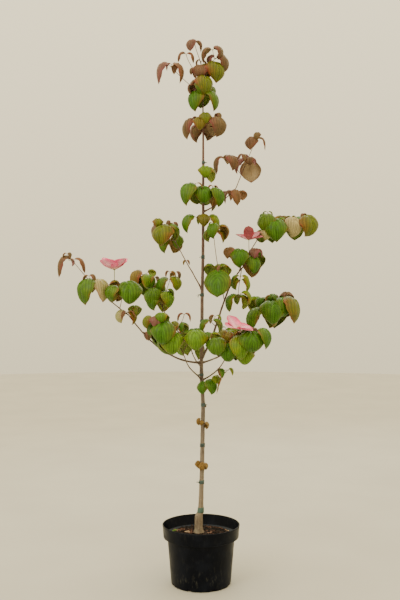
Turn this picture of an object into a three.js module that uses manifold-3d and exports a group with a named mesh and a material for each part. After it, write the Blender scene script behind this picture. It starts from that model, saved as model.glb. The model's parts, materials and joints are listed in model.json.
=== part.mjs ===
// Young pink kousa dogwood in a round nursery pot: a grafted stem, thin boughs in opposite
// pairs, drooping ribbed leaves in opposite pairs, and a few flowers of four pointed bracts.
// Millimetres, +Z up, -Y is the front. The origin is the centre of the pot's flat underside.

import * as THREE from 'three';
import { mergeVertices } from 'three/addons/utils/BufferGeometryUtils.js';
import Module from 'manifold-3d';

const wasm = await Module();
wasm.setup();

// Clearance between neighbouring pieces, and the width under which a sliver of a face is merged.
const GAP = 0.3;
const SLIVER = 0.06;

// Nursery pot, radii and heights.
const POT = {
  foot: 112, body: 126, collar: 141, rim: 145, lip: 3.5,
  ledge: 173, height: 220, wall: 2.5, base: 3, sides: 28,
};
const DRAIN = { count: 8, width: 18, height: 7, depth: 9 };

// Compost, a low mound whose flat crown carries the stem.
const COMPOST = { edge: 176, shoulder: 183, crown: 188, shoulderRadius: 95, crownRadius: 26 };

// Stem from its flat cut on the compost to its tip: height, sideways lean and radius.
const STEM = [
  [COMPOST.crown + GAP, -8.5, 20], [197, -8.5, 16.5], [215, -9, 15.2], [240, -9, 15.2],
  [254, -7, 15], [263, -2, 11.4], [285, -0.5, 10], [315, 0, 8.8], [380, 2, 8.5],
  [432, 4, 8.3], [444, 4, 9.8], [458, 4, 8.3], [560, 6, 7.9], [666, 8, 7.4],
  [767, 2, 7], [825, 1, 6.8], [905, 3, 6.4], [1075, 4, 6], [1219, 7, 5.6],
  [1391, 8, 5], [1560, 8, 4.4], [1700, 8, 3.6], [1789, 7, 2.6],
];
const STEM_SIDES = 10;

// Ties round the stem: height of the middle and height of the band.
const TIES = [
  [271, 22], [376, 9], [515, 9], [666, 9], [779, 6], [981, 7], [1079, 8], [1221, 9], [1576, 8],
];
const TIE_THICKNESS = 1.1;

// Boughs: what each grows from and where on it, where it ends, the slope at its foot and at
// its tip in degrees, and the radius at its foot and at its tip.
const BOUGHS = {
  bough_low_left: { on: 'stem', at: 760, to: [-59, -80, 848], rise: [38, 66], radius: [2.7, 1.8] },
  bough_left: { on: 'stem', at: 825, to: [-266, -55, 1003], rise: [0, 54], radius: [3.7, 2.2] },
  bough_back_left: { on: 'stem', at: 878, to: [-138, 150, 997], rise: [20, 48], radius: [3, 2] },
  bough_high_left: { on: 'stem', at: 1093, to: [-53, -15, 1198], rise: [66, 60], radius: [2.7, 1.8] },
  bough_right: { on: 'stem', at: 842, to: [172, 60, 1198], rise: [55, 42], radius: [4.4, 2.4] },
  bough_right_top: { on: 'bough_right', at: 0.9, to: [226, 110, 1309], rise: [70, 60], radius: [2.1, 1.7] },
  bough_right_low: { on: 'stem', at: 824, to: [219, 180, 972], rise: [8, 48], radius: [3.3, 2.1] },
  bough_low_right: { on: 'stem', at: 758, to: [85, -100, 842], rise: [22, 52], radius: [2.9, 1.9] },
  bough_high_right: { on: 'stem', at: 1391, to: [134, 60, 1489], rise: [25, 48], radius: [2.5, 1.7] },
  bough_back: { on: 'stem', at: 806, to: [-40, 170, 868], rise: [15, 40], radius: [2.9, 2] },
};
const BOUGH_SIDES = 6;
const BOUGH_STEPS = 8;

// How long a limb or shoot keeps the slope of its foot and of its tip, over its span.
const SWEEP_HOLD = 0.36;

// Masses of foliage. Each has one stem that grows on from a bough's tip (at 1), from a place
// along a bough or from the stem of the tree (at a height), and "shoots" are its side shoots.
// "pairs" lists the leaf pairs of a shoot: the place along it, the heading of one leaf in
// degrees (0 right, 90 back, 270 front) and its length, then the heading of its partner where
// that isn't opposite and the partner's length where that differs. A flower stands on the tip
// of its shoot: stalk, spread, and its cup and tilt in degrees.
const MASSES = {
  foliage_left: {
    on: 'bough_left', at: 1, to: [-475, -50, 1206], rise: [36, 52], seed: 181, bronze: 0.1,
    pairs: [[0.04, 350, 70, 215], [0.6, 205, 116, 320], [1, 186, 96, 350]],
    shoots: [
      { at: 0.27, to: [-318, -72, 1122], rise: [75, 84], pairs: [[0.5, 200, 78]],
        flower: { stalk: 48, spread: 118, cup: 24, tilt: 8, facing: 260 } },
      { at: 0.14, to: [-280, -66, 1110], rise: [70, 60], pairs: [[1, 276, 116, 110]] },
      { at: 0.42, to: [-346, -30, 1114], rise: [60, 40], pairs: [[1, 20, 74, 250]] },
    ],
  },
  foliage_left_bud: {
    on: 'bough_left', at: 0.77, to: [-196, -46, 935], rise: [60, 70], seed: 7, bronze: 1,
    pairs: [[1, 150, 44, 290]], shoots: [],
  },
  foliage_left_back: {
    on: 'bough_back_left', at: 1, to: [-236, 226, 1162], rise: [66, 50], seed: 97, bronze: 0.12,
    pairs: [[0.36, 235, 98], [0.52, 262, 104, 20, 88], [0.74, 288, 102, 80],
      [0.9, 310, 96, 150], [1, 212, 104, 330]],
    shoots: [
      { at: 0.2, to: [-124, 190, 1140], rise: [80, 70], pairs: [[0.42, 300, 94, 130], [1, 335, 92, 232]] },
      { at: 0.6, to: [-190, 285, 1120], rise: [30, 20], pairs: [[1, 80, 100]] },
    ],
  },
  foliage_left_front: {
    on: 'bough_low_left', at: 1, to: [-168, -150, 990], rise: [66, 28], seed: 31, bronze: 0.05,
    pairs: [[0.46, 272, 126, 150], [0.78, 262, 128, 110], [1, 205, 68, 330]],
    shoots: [
      { at: 0.12, to: [-20, -118, 932], rise: [58, 36], pairs: [[1, 284, 122, 120]] },
      { at: 0.5, to: [-62, -96, 1006], rise: [60, 80], pairs: [[0.55, 210, 66], [1, 180, 42]] },
      { at: 0.2, to: [-122, -36, 906], rise: [30, 8], pairs: [[1, 232, 92, 60]] },
    ],
  },
  foliage_left_high: {
    on: 'bough_high_left', at: 1, to: [-134, -32, 1330], rise: [60, 48], seed: 155, bronze: 0.3,
    pairs: [[0.04, 130, 26], [0.96, 236, 124, 20, 96], [1, 352, 100, 150]],
    shoots: [
      { at: 0.55, to: [-120, 66, 1290], rise: [40, 20], pairs: [[1, 60, 92]] },
    ],
  },
  foliage_right: {
    on: 'bough_right', at: 1, to: [210, 60, 1250], rise: [48, 62], seed: 200, bronze: 0.25,
    pairs: [[0.2, 300, 104, 60], [0.7, 318, 110, 120], [1, 190, 46]],
    shoots: [
      { at: 0.12, to: [112, 22, 1246], rise: [40, 50], pairs: [[0.6, 262, 62], [1, 200, 60]] },
      { at: 0.1, to: [152, 24, 1236], rise: [60, 40], pairs: [[1, 264, 106, 150]] },
      { at: 0.3, to: [182, 42, 1280], rise: [78, 86], pairs: [],
        flower: { stalk: 8, spread: 106, cup: 8, tilt: 10, facing: 262 } },
    ],
  },
  foliage_right_hanging: {
    on: 'bough_right', at: 0.94, to: [139, -8, 1070], rise: [-58, -84], seed: 1061, bronze: 0.05,
    pairs: [[0.45, 184, 68], [1, 204, 84]], shoots: [],
  },
  foliage_right_top: {
    on: 'bough_right_top', at: 1, to: [414, 160, 1378], rise: [58, 4], seed: 73, bronze: 0.12,
    pairs: [[0.1, 280, 68], [0.42, 272, 120, 100], [0.62, 300, 100, 70], [0.9, 276, 114, 130], [1, 350, 38]],
    shoots: [
      { at: 0.3, to: [266, 120, 1380], rise: [60, 30], pairs: [[1, 240, 106, 60]] },
      { at: 0.5, to: [330, 205, 1380], rise: [30, 10], pairs: [[1, 80, 104]] },
    ],
  },
  foliage_right_low: {
    on: 'bough_right_low', at: 1, to: [350, 222, 1062], rise: [70, 4], seed: 490, bronze: 0.08,
    pairs: [[0.3, 210, 108], [0.48, 268, 124, 80], [0.68, 300, 114, 120], [0.86, 284, 116, 60], [1, 5, 50]],
    shoots: [
      { at: 0.3, to: [236, 262, 1058], rise: [50, 20], pairs: [[1, 130, 106]] },
    ],
  },
  foliage_right_front: {
    on: 'bough_low_right', at: 1, to: [196, -172, 950], rise: [66, 24], seed: 94, bronze: 0.08,
    pairs: [[0.3, 225, 104, 60], [0.56, 262, 118, 100], [0.82, 290, 118, 130], [1, 315, 106, 190]],
    shoots: [
      { at: 0.1, to: [62, -132, 908], rise: [60, 30], pairs: [[1, 262, 102, 100]] },
      { at: 0.45, to: [130, -176, 952], rise: [60, 84], pairs: [],
        flower: { stalk: 6, spread: 108, cup: 6, tilt: 26, facing: 262 } },
      { at: 0.25, to: [152, -112, 876], rise: [20, -10], pairs: [[1, 290, 88, 60]] },
    ],
  },
  foliage_centre: {
    on: 'bough_right', at: 0.58, to: [44, -58, 1342], rise: [66, 84], seed: 103, bronze: 0.2,
    pairs: [[0.43, 268, 142, 60, 96], [0.88, 345, 68], [1, 180, 26]], shoots: [],
  },
  foliage_inner_right: {
    on: 'bough_right', at: 0.31, to: [38, -36, 980], rise: [40, 30], seed: 112, bronze: 0.1,
    pairs: [[1, 186, 72]], shoots: [],
  },
  foliage_right_high: {
    on: 'bough_high_right', at: 1, to: [212, 80, 1678], rise: [68, 66], seed: 232, bronze: 0.9,
    pairs: [[0.54, 70, 116, 200, 84], [0.98, 200, 70, 350]],
    shoots: [
      { at: 0.26, to: [94, 48, 1594], rise: [55, 30], pairs: [[1, 200, 88, 340]] },
      { at: 0.04, to: [124, 44, 1464], rise: [-60, -80], pairs: [[1, 200, 72, 330]] },
    ],
  },
  foliage_middle_left: {
    on: 'stem', at: 1462, to: [-24, -26, 1476], rise: [30, 10], seed: 133, bronze: 0.15,
    pairs: [[0.5, 290, 104, 130], [1, 236, 116, 170, 70]], shoots: [],
  },
  foliage_middle_right: {
    on: 'stem', at: 1450, to: [38, -20, 1458], rise: [24, 10], seed: 143, bronze: 0.35,
    pairs: [[1, 290, 104, 30]],
    shoots: [
      { at: 0.5, to: [44, 0, 1486], rise: [60, 80], pairs: [[1, 200, 36]] },
    ],
  },
  foliage_middle_top: {
    on: 'stem', at: 1524, to: [11, -22, 1544], rise: [50, 70], seed: 2151, bronze: 0.2,
    pairs: [[1, 274, 80, 60]], shoots: [],
  },
  foliage_middle_low: {
    on: 'stem', at: 1352, to: [-16, -20, 1366], rise: [40, 50], seed: 163, bronze: 0.1,
    pairs: [[1, 214, 92, 70]],
    shoots: [
      { at: 0.4, to: [22, -18, 1366], rise: [30, 50], pairs: [[1, 350, 80, 110]] },
    ],
  },
  foliage_middle_back: {
    on: 'stem', at: 1440, to: [10, 62, 1474], rise: [30, 30], seed: 172, bronze: 0.15,
    pairs: [[0.55, 20, 94], [1, 100, 104, 240]], shoots: [],
  },
  foliage_upper_front: {
    on: 'stem', at: 1706, to: [-14, -24, 1724], rise: [30, 40], seed: 181, bronze: 0.9,
    pairs: [[1, 186, 104, 290, 78]],
    shoots: [
      { at: 0.5, to: [34, -16, 1724], rise: [30, 40], pairs: [[1, 330, 104, 60]] },
    ],
  },
  foliage_upper_back: {
    on: 'stem', at: 1690, to: [8, 40, 1712], rise: [30, 40], seed: 194, bronze: 0.8,
    pairs: [[1, 40, 94, 150]], shoots: [],
  },
  foliage_top: {
    on: 'stem', at: 1789, to: [0, 0, 1955], rise: [90, 90], seed: 251, bronze: 0.45,
    pairs: [[0.24, 215, 100, 325], [0.32, 60, 84, 130], [0.52, 285, 104, 160],
      [0.84, 232, 78, 70, 62], [1, 190, 40]],
    shoots: [
      { at: 0.2, to: [-112, -20, 1930], rise: [42, 46], pairs: [[1, 186, 90]] },
      { at: 0.6, to: [-56, -10, 1979], rise: [50, 74], pairs: [[0.4, 250, 42], [1, 184, 54]] },
      { at: 0.92, to: [-24, 0, 2028], rise: [80, 84], pairs: [[1, 190, 52]] },
      { at: 0.5, to: [52, 12, 1968], rise: [60, 40],
        pairs: [[0.6, 312, 112, 110, 84], [1, 345, 90, 235, 60]] },
    ],
  },
  foliage_lowest: {
    on: 'stem', at: 732, to: [22, -24, 748], rise: [30, 30], seed: 211, bronze: 0,
    pairs: [[1, 330, 70, 240]], shoots: [],
  },
  foliage_low_right_bud: {
    on: 'bough_low_right', at: 0.62, to: [100, -62, 802], rise: [0, 0], seed: 222, bronze: 0.2,
    pairs: [[0.2, 250, 46], [1, 208, 57, 20, 40]], shoots: [],
  },
  foliage_back: {
    on: 'bough_back', at: 1, to: [-96, 252, 944], rise: [50, 20], seed: 233, bronze: 0.1,
    pairs: [[0.2, 20, 104], [0.55, 90, 112, 250], [0.85, 170, 104], [1, 120, 52]],
    shoots: [
      { at: 0.3, to: [-30, 240, 925], rise: [50, 30], pairs: [[1, 60, 102]] },
    ],
  },
  foliage_back_right: {
    on: 'bough_right_low', at: 0.55, to: [150, 245, 934], rise: [40, 30], seed: 426, bronze: 0.1,
    pairs: [[0.5, 0, 100], [0.95, 100, 108, 210]],
    shoots: [
      { at: 0.5, to: [96, 216, 916], rise: [50, 30], pairs: [[1, 150, 102, 40]] },
    ],
  },
};

// Twigs: radius at the foot and the tip of a shoot, and of the side twigs in the leaf axils.
const TWIG = { foot: 1.7, branch: 0.8, tip: 1, side: 0.9, sides: 4, steps: 3 };
const STALK = { length: 9, sunk: 0.45, wide: 0.72, thick: 0.6 };

// The seeded part of growth: spreads round the stated values, and the chance and sizes of
// the short side twigs that stand in the axils of the longer leaves. Leaves shorter than
// "youngLeaf" are narrow and bronze.
const GROWTH = {
  headingSpread: 14, lengthSpread: 0.07, lift: [28, 50], fall: [80, 100], roll: 14, swirl: 26,
  ratio: [0.92, 1.08], droop: [0.8, 1.4], youngLeaf: 58, longLeaf: 80,
  twigChance: 0.1, twigLength: [18, 30], twigLeaf: [30, 42], twigTurn: 40, twigPair: 90,
};

// Leaf blade: width over length, how fast it arches over, how far its margins hang below the
// midrib over half its width, and its thickness at the midrib over its length.
const LEAF = { broad: 0.68, young: 0.42, arch: 3, droop: 0.35, thickness: 0.012, stations: 10 };

// Flower: width over length of a bract and its thickness, how far its margins curl up, the
// lengths of the wide and the narrow pair over the spread, and the radius of the eye.
const BRACT = { broad: 0.66, thick: 1.2, curl: 0.5, long: 0.52, short: 0.48, arch: 8, eye: 5 };

// What a leaf keeps clear of every limb, and of the shoots and leaves of the other masses.
const LIMB_CLEARANCE = 2.5;
const SPACE_CLEARANCE = 5;
const TURNS = [0, 16, -16, 34, -34, 56, -56];

const UP = new THREE.Vector3(0, 0, 1);
const vec = (list) => new THREE.Vector3(...list);
const radians = THREE.MathUtils.degToRad;
const mix = (range, share) => range[0] + (range[1] - range[0]) * share;

// Closed geometry to solid.
function toSolid(geometry) {
  geometry.deleteAttribute('normal');
  geometry.deleteAttribute('uv');
  const merged = mergeVertices(geometry, 1e-5);
  return new wasm.Manifold(new wasm.Mesh({
    numProp: 3,
    vertProperties: new Float32Array(merged.attributes.position.array),
    triVerts: new Uint32Array(merged.index.array),
  }));
}

// Largest closed body of a solid, without slivers: loose scraps and sealed hollows are dropped.
function largestBody(solid) {
  let best = solid;
  let volume = 0;
  for (const body of solid.asOriginal().simplify(SLIVER).asOriginal().simplify(SLIVER).decompose()) {
    if (body.volume() > volume) {
      best = body;
      volume = body.volume();
    }
  }
  return best;
}

function toMesh(solid, name, material) {
  const { vertProperties, triVerts } = solid.getMesh();
  const geometry = new THREE.BufferGeometry();
  geometry.setAttribute('position', new THREE.BufferAttribute(vertProperties, 3));
  geometry.setIndex(new THREE.BufferAttribute(triVerts, 1));
  geometry.computeVertexNormals();
  const mesh = new THREE.Mesh(geometry, material);
  mesh.name = name;
  return mesh;
}

const join = (solids) => solids.reduce((sum, solid) => sum.add(solid));

// Moves every vertex of a geometry by a function of its old place.
function remap(geometry, place) {
  const position = geometry.attributes.position;
  const point = new THREE.Vector3();
  for (let i = 0; i < position.count; i++) {
    point.fromBufferAttribute(position, i);
    position.setXYZ(i, ...place(point).toArray());
  }
  return geometry;
}

// Direction of a line of points at its first or last point.
const wayIn = (points) => points[1].clone().sub(points[0]).normalize();
const wayOut = (points) => points.at(-1).clone().sub(points.at(-2)).normalize();

// Tapering limb: a cylinder bent along a line of points, with a radius at each. Its foot faces
// along the line unless another direction is given.
function limbSolid(points, radii, sides, facing = wayIn(points)) {
  const steps = points.length - 1;
  const frames = [];
  let side = new THREE.Vector3(1, 0, 0);
  points.forEach((point, i) => {
    const ahead = i === 0 ? facing : points[Math.min(i + 1, steps)].clone().sub(points[i - 1]).normalize();
    if (i === 0 && Math.abs(ahead.x) > 0.9) {
      side = new THREE.Vector3(0, 1, 0);
    }
    side = side.clone().addScaledVector(ahead, -side.dot(ahead)).normalize();
    frames.push({ side, other: side.clone().cross(ahead) });
  });
  const tube = new THREE.CylinderGeometry(1, 1, 1, sides, steps);
  return toSolid(remap(tube, (p) => {
    const i = Math.round((p.y + 0.5) * steps);
    return points[i].clone()
      .addScaledVector(frames[i].side, p.x * radii[i])
      .addScaledVector(frames[i].other, p.z * radii[i]);
  }));
}

// Curve from one place to another that leaves and arrives at the given slopes.
function sweep(from, to, rise) {
  const span = to.clone().sub(from);
  const flat = span.clone().setZ(0);
  if (flat.length() < 1) {
    flat.set(1, 0, 0);
  }
  flat.normalize();
  const slope = (angle) => flat.clone().multiplyScalar(Math.cos(radians(angle)))
    .addScaledVector(UP, Math.sin(radians(angle)));
  const hold = span.length() * SWEEP_HOLD;
  const first = from.clone().addScaledVector(slope(rise[0]), hold);
  const last = to.clone().addScaledVector(slope(rise[1]), -hold);
  return new THREE.CubicBezierCurve3(from, first, last, to);
}

// Limbs as lines: the points along each and the radius at every point.
const limbs = {
  stem: { points: STEM.map(([z, x]) => vec([x, 0, z])), radii: STEM.map((row) => row[2]) },
};

function stemAt(height) {
  const above = Math.max(1, STEM.findIndex((row) => row[0] >= Math.min(height, STEM.at(-1)[0])));
  const [low, high] = [STEM[above - 1], STEM[above]];
  const share = (height - low[0]) / (high[0] - low[0]);
  return { place: vec([mix([low[1], high[1]], share), 0, height]), radius: mix([low[2], high[2]], share) };
}

for (const [name, bough] of Object.entries(BOUGHS)) {
  const from = bough.on === 'stem' ? stemAt(bough.at).place : limbs[bough.on].curve.getPoint(bough.at);
  const curve = sweep(from, vec(bough.to), bough.rise);
  const points = curve.getPoints(BOUGH_STEPS);
  limbs[name] = { curve, points, radii: points.map((_, i) => mix(bough.radius, i / BOUGH_STEPS)) };
}

// Place on a line of points, from its first (0) to its last (1).
function onLine(points, at) {
  const place = at * (points.length - 1);
  const i = Math.min(Math.floor(place), points.length - 2);
  return points[i].clone().lerp(points[i + 1], place - i);
}

// Shoots of a mass, its stem first: its plan and its points.
function shootsOf(mass) {
  let from = mass.on === 'stem' ? stemAt(mass.at).place : limbs[mass.on].curve.getPoint(mass.at);
  let facing;
  if (mass.at === 1 || mass.at === STEM.at(-1)[0]) {
    facing = mass.on === 'stem' ? UP : wayOut(limbs[mass.on].points);
    from = from.clone().addScaledVector(facing, GAP);
  }
  const shoots = [];
  for (const plan of [mass, ...mass.shoots]) {
    const start = shoots.length ? onLine(shoots[0].points, plan.at) : from;
    const points = sweep(start, vec(plan.to), plan.rise).getPoints(TWIG.steps);
    shoots.push({ plan, points, facing: shoots.length ? undefined : facing });
  }
  return shoots;
}

const growth = Object.fromEntries(Object.entries(MASSES).map(([name, mass]) => [name, shootsOf(mass)]));

// Repeatable random numbers between 0 and 1.
function dice(seed) {
  let state = seed * 7919;
  return () => {
    state = (state * 48271) % 2147483647;
    return state / 2147483647;
  };
}

// Half width of a blade at t, from its base (0) to its tip (1), over its greatest half width.
function outline(t) {
  const point = THREE.MathUtils.smoothstep(t, 0.72, 1);
  return Math.max(0, Math.sin(Math.PI * t ** 0.72)) ** 0.85 * (1 - 0.35 * point);
}

// Midrib of a leaf from the end of its stalk to its tip: places with the directions across the
// blade and out of its upper face.
function midrib(leaf) {
  const ahead = new THREE.Vector3();
  const place = leaf.root.clone();
  const ribs = [];
  for (let i = 0; i <= LEAF.stations; i++) {
    const t = i / LEAF.stations;
    const pitch = radians(leaf.lift - (leaf.lift + leaf.fall) * (1 - (1 - t) ** LEAF.arch));
    const turn = radians(leaf.heading + leaf.swirl * t * t);
    ahead.copy(leaf.right).multiplyScalar(Math.cos(turn)).addScaledVector(leaf.back, Math.sin(turn));
    const along = ahead.clone().multiplyScalar(Math.cos(pitch)).addScaledVector(leaf.up, Math.sin(pitch));
    if (i === 0) {
      place.addScaledVector(along, leaf.stalk);
    }
    const level = ahead.clone().cross(leaf.up);
    const top = level.clone().cross(along);
    const roll = radians(leaf.roll);
    const across = level.clone().multiplyScalar(Math.cos(roll)).addScaledVector(top, Math.sin(roll));
    const face = top.multiplyScalar(Math.cos(roll)).addScaledVector(level, -Math.sin(roll));
    ribs.push({ t, place: place.clone(), along, across, face });
    place.addScaledVector(along, leaf.length / LEAF.stations);
  }
  return ribs;
}

// Place on a blade: u runs across it from one margin (-1) through the midrib (0) to the other.
function bladePoint(leaf, rib, u) {
  const half = leaf.length * leaf.ratio * 0.5 * outline(rib.t);
  return rib.place.clone()
    .addScaledVector(rib.across, half * u)
    .addScaledVector(rib.face, -half * LEAF.droop * leaf.droop * Math.abs(u));
}

// Coarse sheet of a leaf for the tests of its room: points, triangles and lengthwise lines.
function sheetOf(leaf) {
  const rows = midrib(leaf).filter((_, i) => i % 2 === 0)
    .map((rib) => [-1, 0, 1].map((u) => bladePoint(leaf, rib, u)));
  const triangles = [];
  const lines = [];
  for (let i = 0; i + 1 < rows.length; i++) {
    for (let j = 0; j < 3; j++) {
      lines.push([rows[i][j], rows[i + 1][j]]);
    }
    for (let j = 0; j < 2; j++) {
      triangles.push([rows[i][j], rows[i][j + 1], rows[i + 1][j + 1]]);
      triangles.push([rows[i][j], rows[i + 1][j + 1], rows[i + 1][j]]);
    }
  }
  return { points: rows.flat(), triangles, lines, centre: rows[3][1], reach: leaf.length * 0.62 };
}

function pierces([from, to], [a, b, c]) {
  const way = to.clone().sub(from);
  const ab = b.clone().sub(a);
  const ac = c.clone().sub(a);
  const p = way.clone().cross(ac);
  const det = ab.dot(p);
  if (Math.abs(det) < 1e-9) {
    return false;
  }
  const s = from.clone().sub(a);
  const u = s.dot(p) / det;
  const q = s.cross(ab);
  const v = way.dot(q) / det;
  const t = ac.dot(q) / det;
  return u >= 0 && v >= 0 && u + v <= 1 && t >= 0 && t <= 1;
}

function crosses(one, two) {
  if (one.centre.distanceTo(two.centre) > one.reach + two.reach) {
    return false;
  }
  return one.lines.some((line) => two.triangles.some((triangle) => pierces(line, triangle)))
    || two.lines.some((line) => one.triangles.some((triangle) => pierces(line, triangle)));
}

// Distance from a point to a line of points, less the radius there where the line has one.
function distanceTo(point, { points, radii }) {
  let best = Infinity;
  for (let i = 0; i + 1 < points.length; i++) {
    const way = points[i + 1].clone().sub(points[i]);
    const share = THREE.MathUtils.clamp(point.clone().sub(points[i]).dot(way) / way.lengthSq(), 0, 1);
    const thick = radii ? mix([radii[i], radii[i + 1]], share) : 0;
    best = Math.min(best, points[i].clone().addScaledVector(way, share).distanceTo(point) - thick);
  }
  return best;
}

const clearOfLimbs = (points) => Object.values(limbs).every(
  (limb) => points.every((point) => distanceTo(point, limb) > LIMB_CLEARANCE));

// A mass's space is what the shoots and leaves of the other masses leave free.
const taken = [];
function inOwnSpace(points, name) {
  const others = Object.keys(growth).filter((other) => other !== name).flatMap((other) => growth[other]);
  return points.every((point) => others.every((shoot) => distanceTo(point, shoot) > SPACE_CLEARANCE)
    && taken.every((sheet) => sheet.owner === name || sheet.centre.distanceTo(point) > sheet.reach
      || sheet.points.every((other) => other.distanceTo(point) > SPACE_CLEARANCE)));
}

function pierced(sheet, lines) {
  return lines.some(({ points }) => points.slice(1).some(
    (end, i) => sheet.triangles.some((triangle) => pierces([points[i], end], triangle))));
}

// Grows the leaves of a mass: a list of leaves, side twigs and flowers that found room.
function grow(name, mass) {
  const roll = dice(mass.seed);
  const grown = { leaves: [], twigs: [], flowers: [] };
  const lines = [...Object.values(limbs), ...Object.values(growth).flat()];
  const settle = (plan) => {
    for (const turn of TURNS) {
      const leaf = { ...plan, heading: plan.heading + turn };
      const sheet = { ...sheetOf(leaf), owner: name };
      if (clearOfLimbs(sheet.points) && !pierced(sheet, lines) && inOwnSpace(sheet.points, name)
        && !taken.some((other) => crosses(sheet, other))) {
        taken.push(sheet);
        grown.leaves.push(leaf);
        return;
      }
    }
  };
  const newLeaf = (root, heading, length) => {
    const young = length < GROWTH.youngLeaf;
    return {
      root, right: vec([1, 0, 0]), back: vec([0, 1, 0]), up: UP,
      heading: heading + GROWTH.headingSpread * (2 * roll() - 1),
      length: length * (1 + GROWTH.lengthSpread * (2 * roll() - 1)),
      ratio: (young ? LEAF.young : LEAF.broad) * mix(GROWTH.ratio, roll()),
      lift: mix(GROWTH.lift, roll()),
      fall: mix(GROWTH.fall, roll()),
      roll: GROWTH.roll * (2 * roll() - 1),
      swirl: GROWTH.swirl * (2 * roll() - 1),
      stalk: young ? STALK.length / 2 : STALK.length,
      droop: mix(GROWTH.droop, roll()),
      young, bronze: young || roll() < mass.bronze,
    };
  };
  for (const { plan, points: line } of growth[name]) {
    for (const [at, heading, length, partner = heading + 180, partnerLength = length] of plan.pairs) {
      const root = onLine(line, at);
      for (const [way, size] of [[heading, length], [partner, partnerLength]]) {
        settle(newLeaf(root, way, size));
        const chance = roll();
        const reach = mix(GROWTH.twigLength, roll());
        const small = mix(GROWTH.twigLeaf, roll());
        if (chance < GROWTH.twigChance && size > GROWTH.longLeaf) {
          const turn = way + GROWTH.twigTurn;
          const angle = radians(turn);
          const tip = root.clone().add(vec([reach * Math.cos(angle), reach * Math.sin(angle), reach]));
          if (inOwnSpace([tip], name) && clearOfLimbs([tip])) {
            grown.twigs.push([root, tip]);
            settle(newLeaf(tip, turn - GROWTH.twigPair, small));
            settle(newLeaf(tip, turn + GROWTH.twigPair, small));
          }
        }
      }
    }
    if (plan.flower) {
      grown.flowers.push(growFlower(line.at(-1), plan.flower));
    }
  }
  return grown;
}

// Flower: a stalk that goes on from its shoot's tip, four bracts in a cross and a round eye.
function growFlower(foot, { stalk, spread, cup, tilt, facing }) {
  const lean = vec([Math.cos(radians(facing)), Math.sin(radians(facing)), 0]);
  const up = UP.clone().multiplyScalar(Math.cos(radians(tilt)))
    .addScaledVector(lean, Math.sin(radians(tilt)));
  const base = foot.clone().addScaledVector(UP, stalk);
  const right = vec([0, 1, 0]).cross(up).normalize();
  const back = up.clone().cross(right);
  const bracts = [53, 143, 233, 323].map((heading, i) => ({
    root: base, right, back, up, heading, length: spread * (i % 2 ? BRACT.short : BRACT.long),
    ratio: BRACT.broad, lift: cup - BRACT.arch, fall: -cup - BRACT.arch,
    roll: 0, swirl: 0, stalk: BRACT.eye / 2, droop: -BRACT.curl,
  }));
  return { foot, base, up, bracts };
}

// Leaf or bract as a thin lens: a four-sided cone bent along the midrib, its root sunk in.
function leafSolid(leaf, thick) {
  const ribs = midrib(leaf);
  const picks = leaf.length > GROWTH.youngLeaf ? [0, 2, 4, 7, 10] : [0, 5, 10];
  const rows = picks.length;
  const sunk = leaf.root.clone().addScaledVector(ribs[0].along, -STALK.sunk);
  const blade = new THREE.CylinderGeometry(0, 1, 1, 4, rows);
  return toSolid(remap(blade, (p) => {
    const row = Math.round((p.y + 0.5) * rows);
    const taper = Math.max(1e-9, 1 - row / rows);
    const [x, z] = [Math.round(p.x / taper), Math.round(p.z / taper)];
    const rib = row === 0 ? ribs[0] : ribs[picks[row - 1]];
    if (row <= 1) {
      const centre = row === 0 ? sunk : rib.place;
      return centre.clone().addScaledVector(rib.across, x * STALK.wide)
        .addScaledVector(rib.face, z * STALK.thick);
    }
    const half = row === rows ? 0 : thick / 2;
    return bladePoint(leaf, rib, x).addScaledVector(rib.face, z * half);
  }));
}

function twigSolid(points, foot, tip, facing) {
  const steps = points.length - 1;
  return limbSolid(points, points.map((_, i) => mix([foot, tip], i / steps)), TWIG.sides, facing);
}

function flowerSolids({ foot, base, up, bracts }) {
  const eye = new THREE.SphereGeometry(BRACT.eye, 6, 4);
  const centre = base.clone().addScaledVector(up, BRACT.eye / 2);
  const below = foot.clone().addScaledVector(UP, -2 * TWIG.tip);
  return [
    twigSolid([below, centre], TWIG.tip, TWIG.tip),
    toSolid(remap(eye, (p) => p.clone().add(centre))),
    ...bracts.map((bract) => leafSolid(bract, BRACT.thick)),
  ];
}

// Profile of radii and heights turned round the stem's leaning line, with level rings.
function turned(profile) {
  const wall = new THREE.LatheGeometry(profile.map((point) => new THREE.Vector2(...point)), STEM_SIDES);
  wall.rotateX(Math.PI / 2);
  return toSolid(remap(wall, (p) => p.clone().setX(p.x + stemAt(p.z).place.x)));
}

function stemSolid(extra) {
  const side = STEM.map(([height, , radius]) => [radius + extra, height]);
  return turned([[0, STEM[0][0]], ...side, [0, STEM.at(-1)[0]]]);
}

// The limb that a foot grows from, thicker by the clearance, to cut the foot with.
const stemCutter = stemSolid(GAP);
function footCutter(owner) {
  const { points, radii } = limbs[owner];
  return owner === 'stem' ? stemCutter
    : limbSolid(points, radii.map((radius) => radius + GAP), BOUGH_SIDES);
}

function massSolid(name, mass) {
  const grown = grow(name, mass);
  const pieces = growth[name].map(({ points, facing }, i) => {
    const foot = facing ? limbs[mass.on].radii.at(-1) : TWIG.foot;
    return twigSolid(points, i === 0 ? foot : TWIG.foot * TWIG.branch, TWIG.tip, facing);
  });
  for (const points of grown.twigs) {
    pieces.push(twigSolid(points, TWIG.side, TWIG.side));
  }
  for (const leaf of grown.leaves) {
    pieces.push(leafSolid(leaf, Math.max(1, leaf.length * LEAF.thickness)));
  }
  for (const flower of grown.flowers) {
    pieces.push(...flowerSolids(flower));
  }
  let solid = join(pieces);
  if (!growth[name][0].facing) {
    solid = solid.subtract(footCutter(mass.on));
  }
  return largestBody(solid);
}

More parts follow.
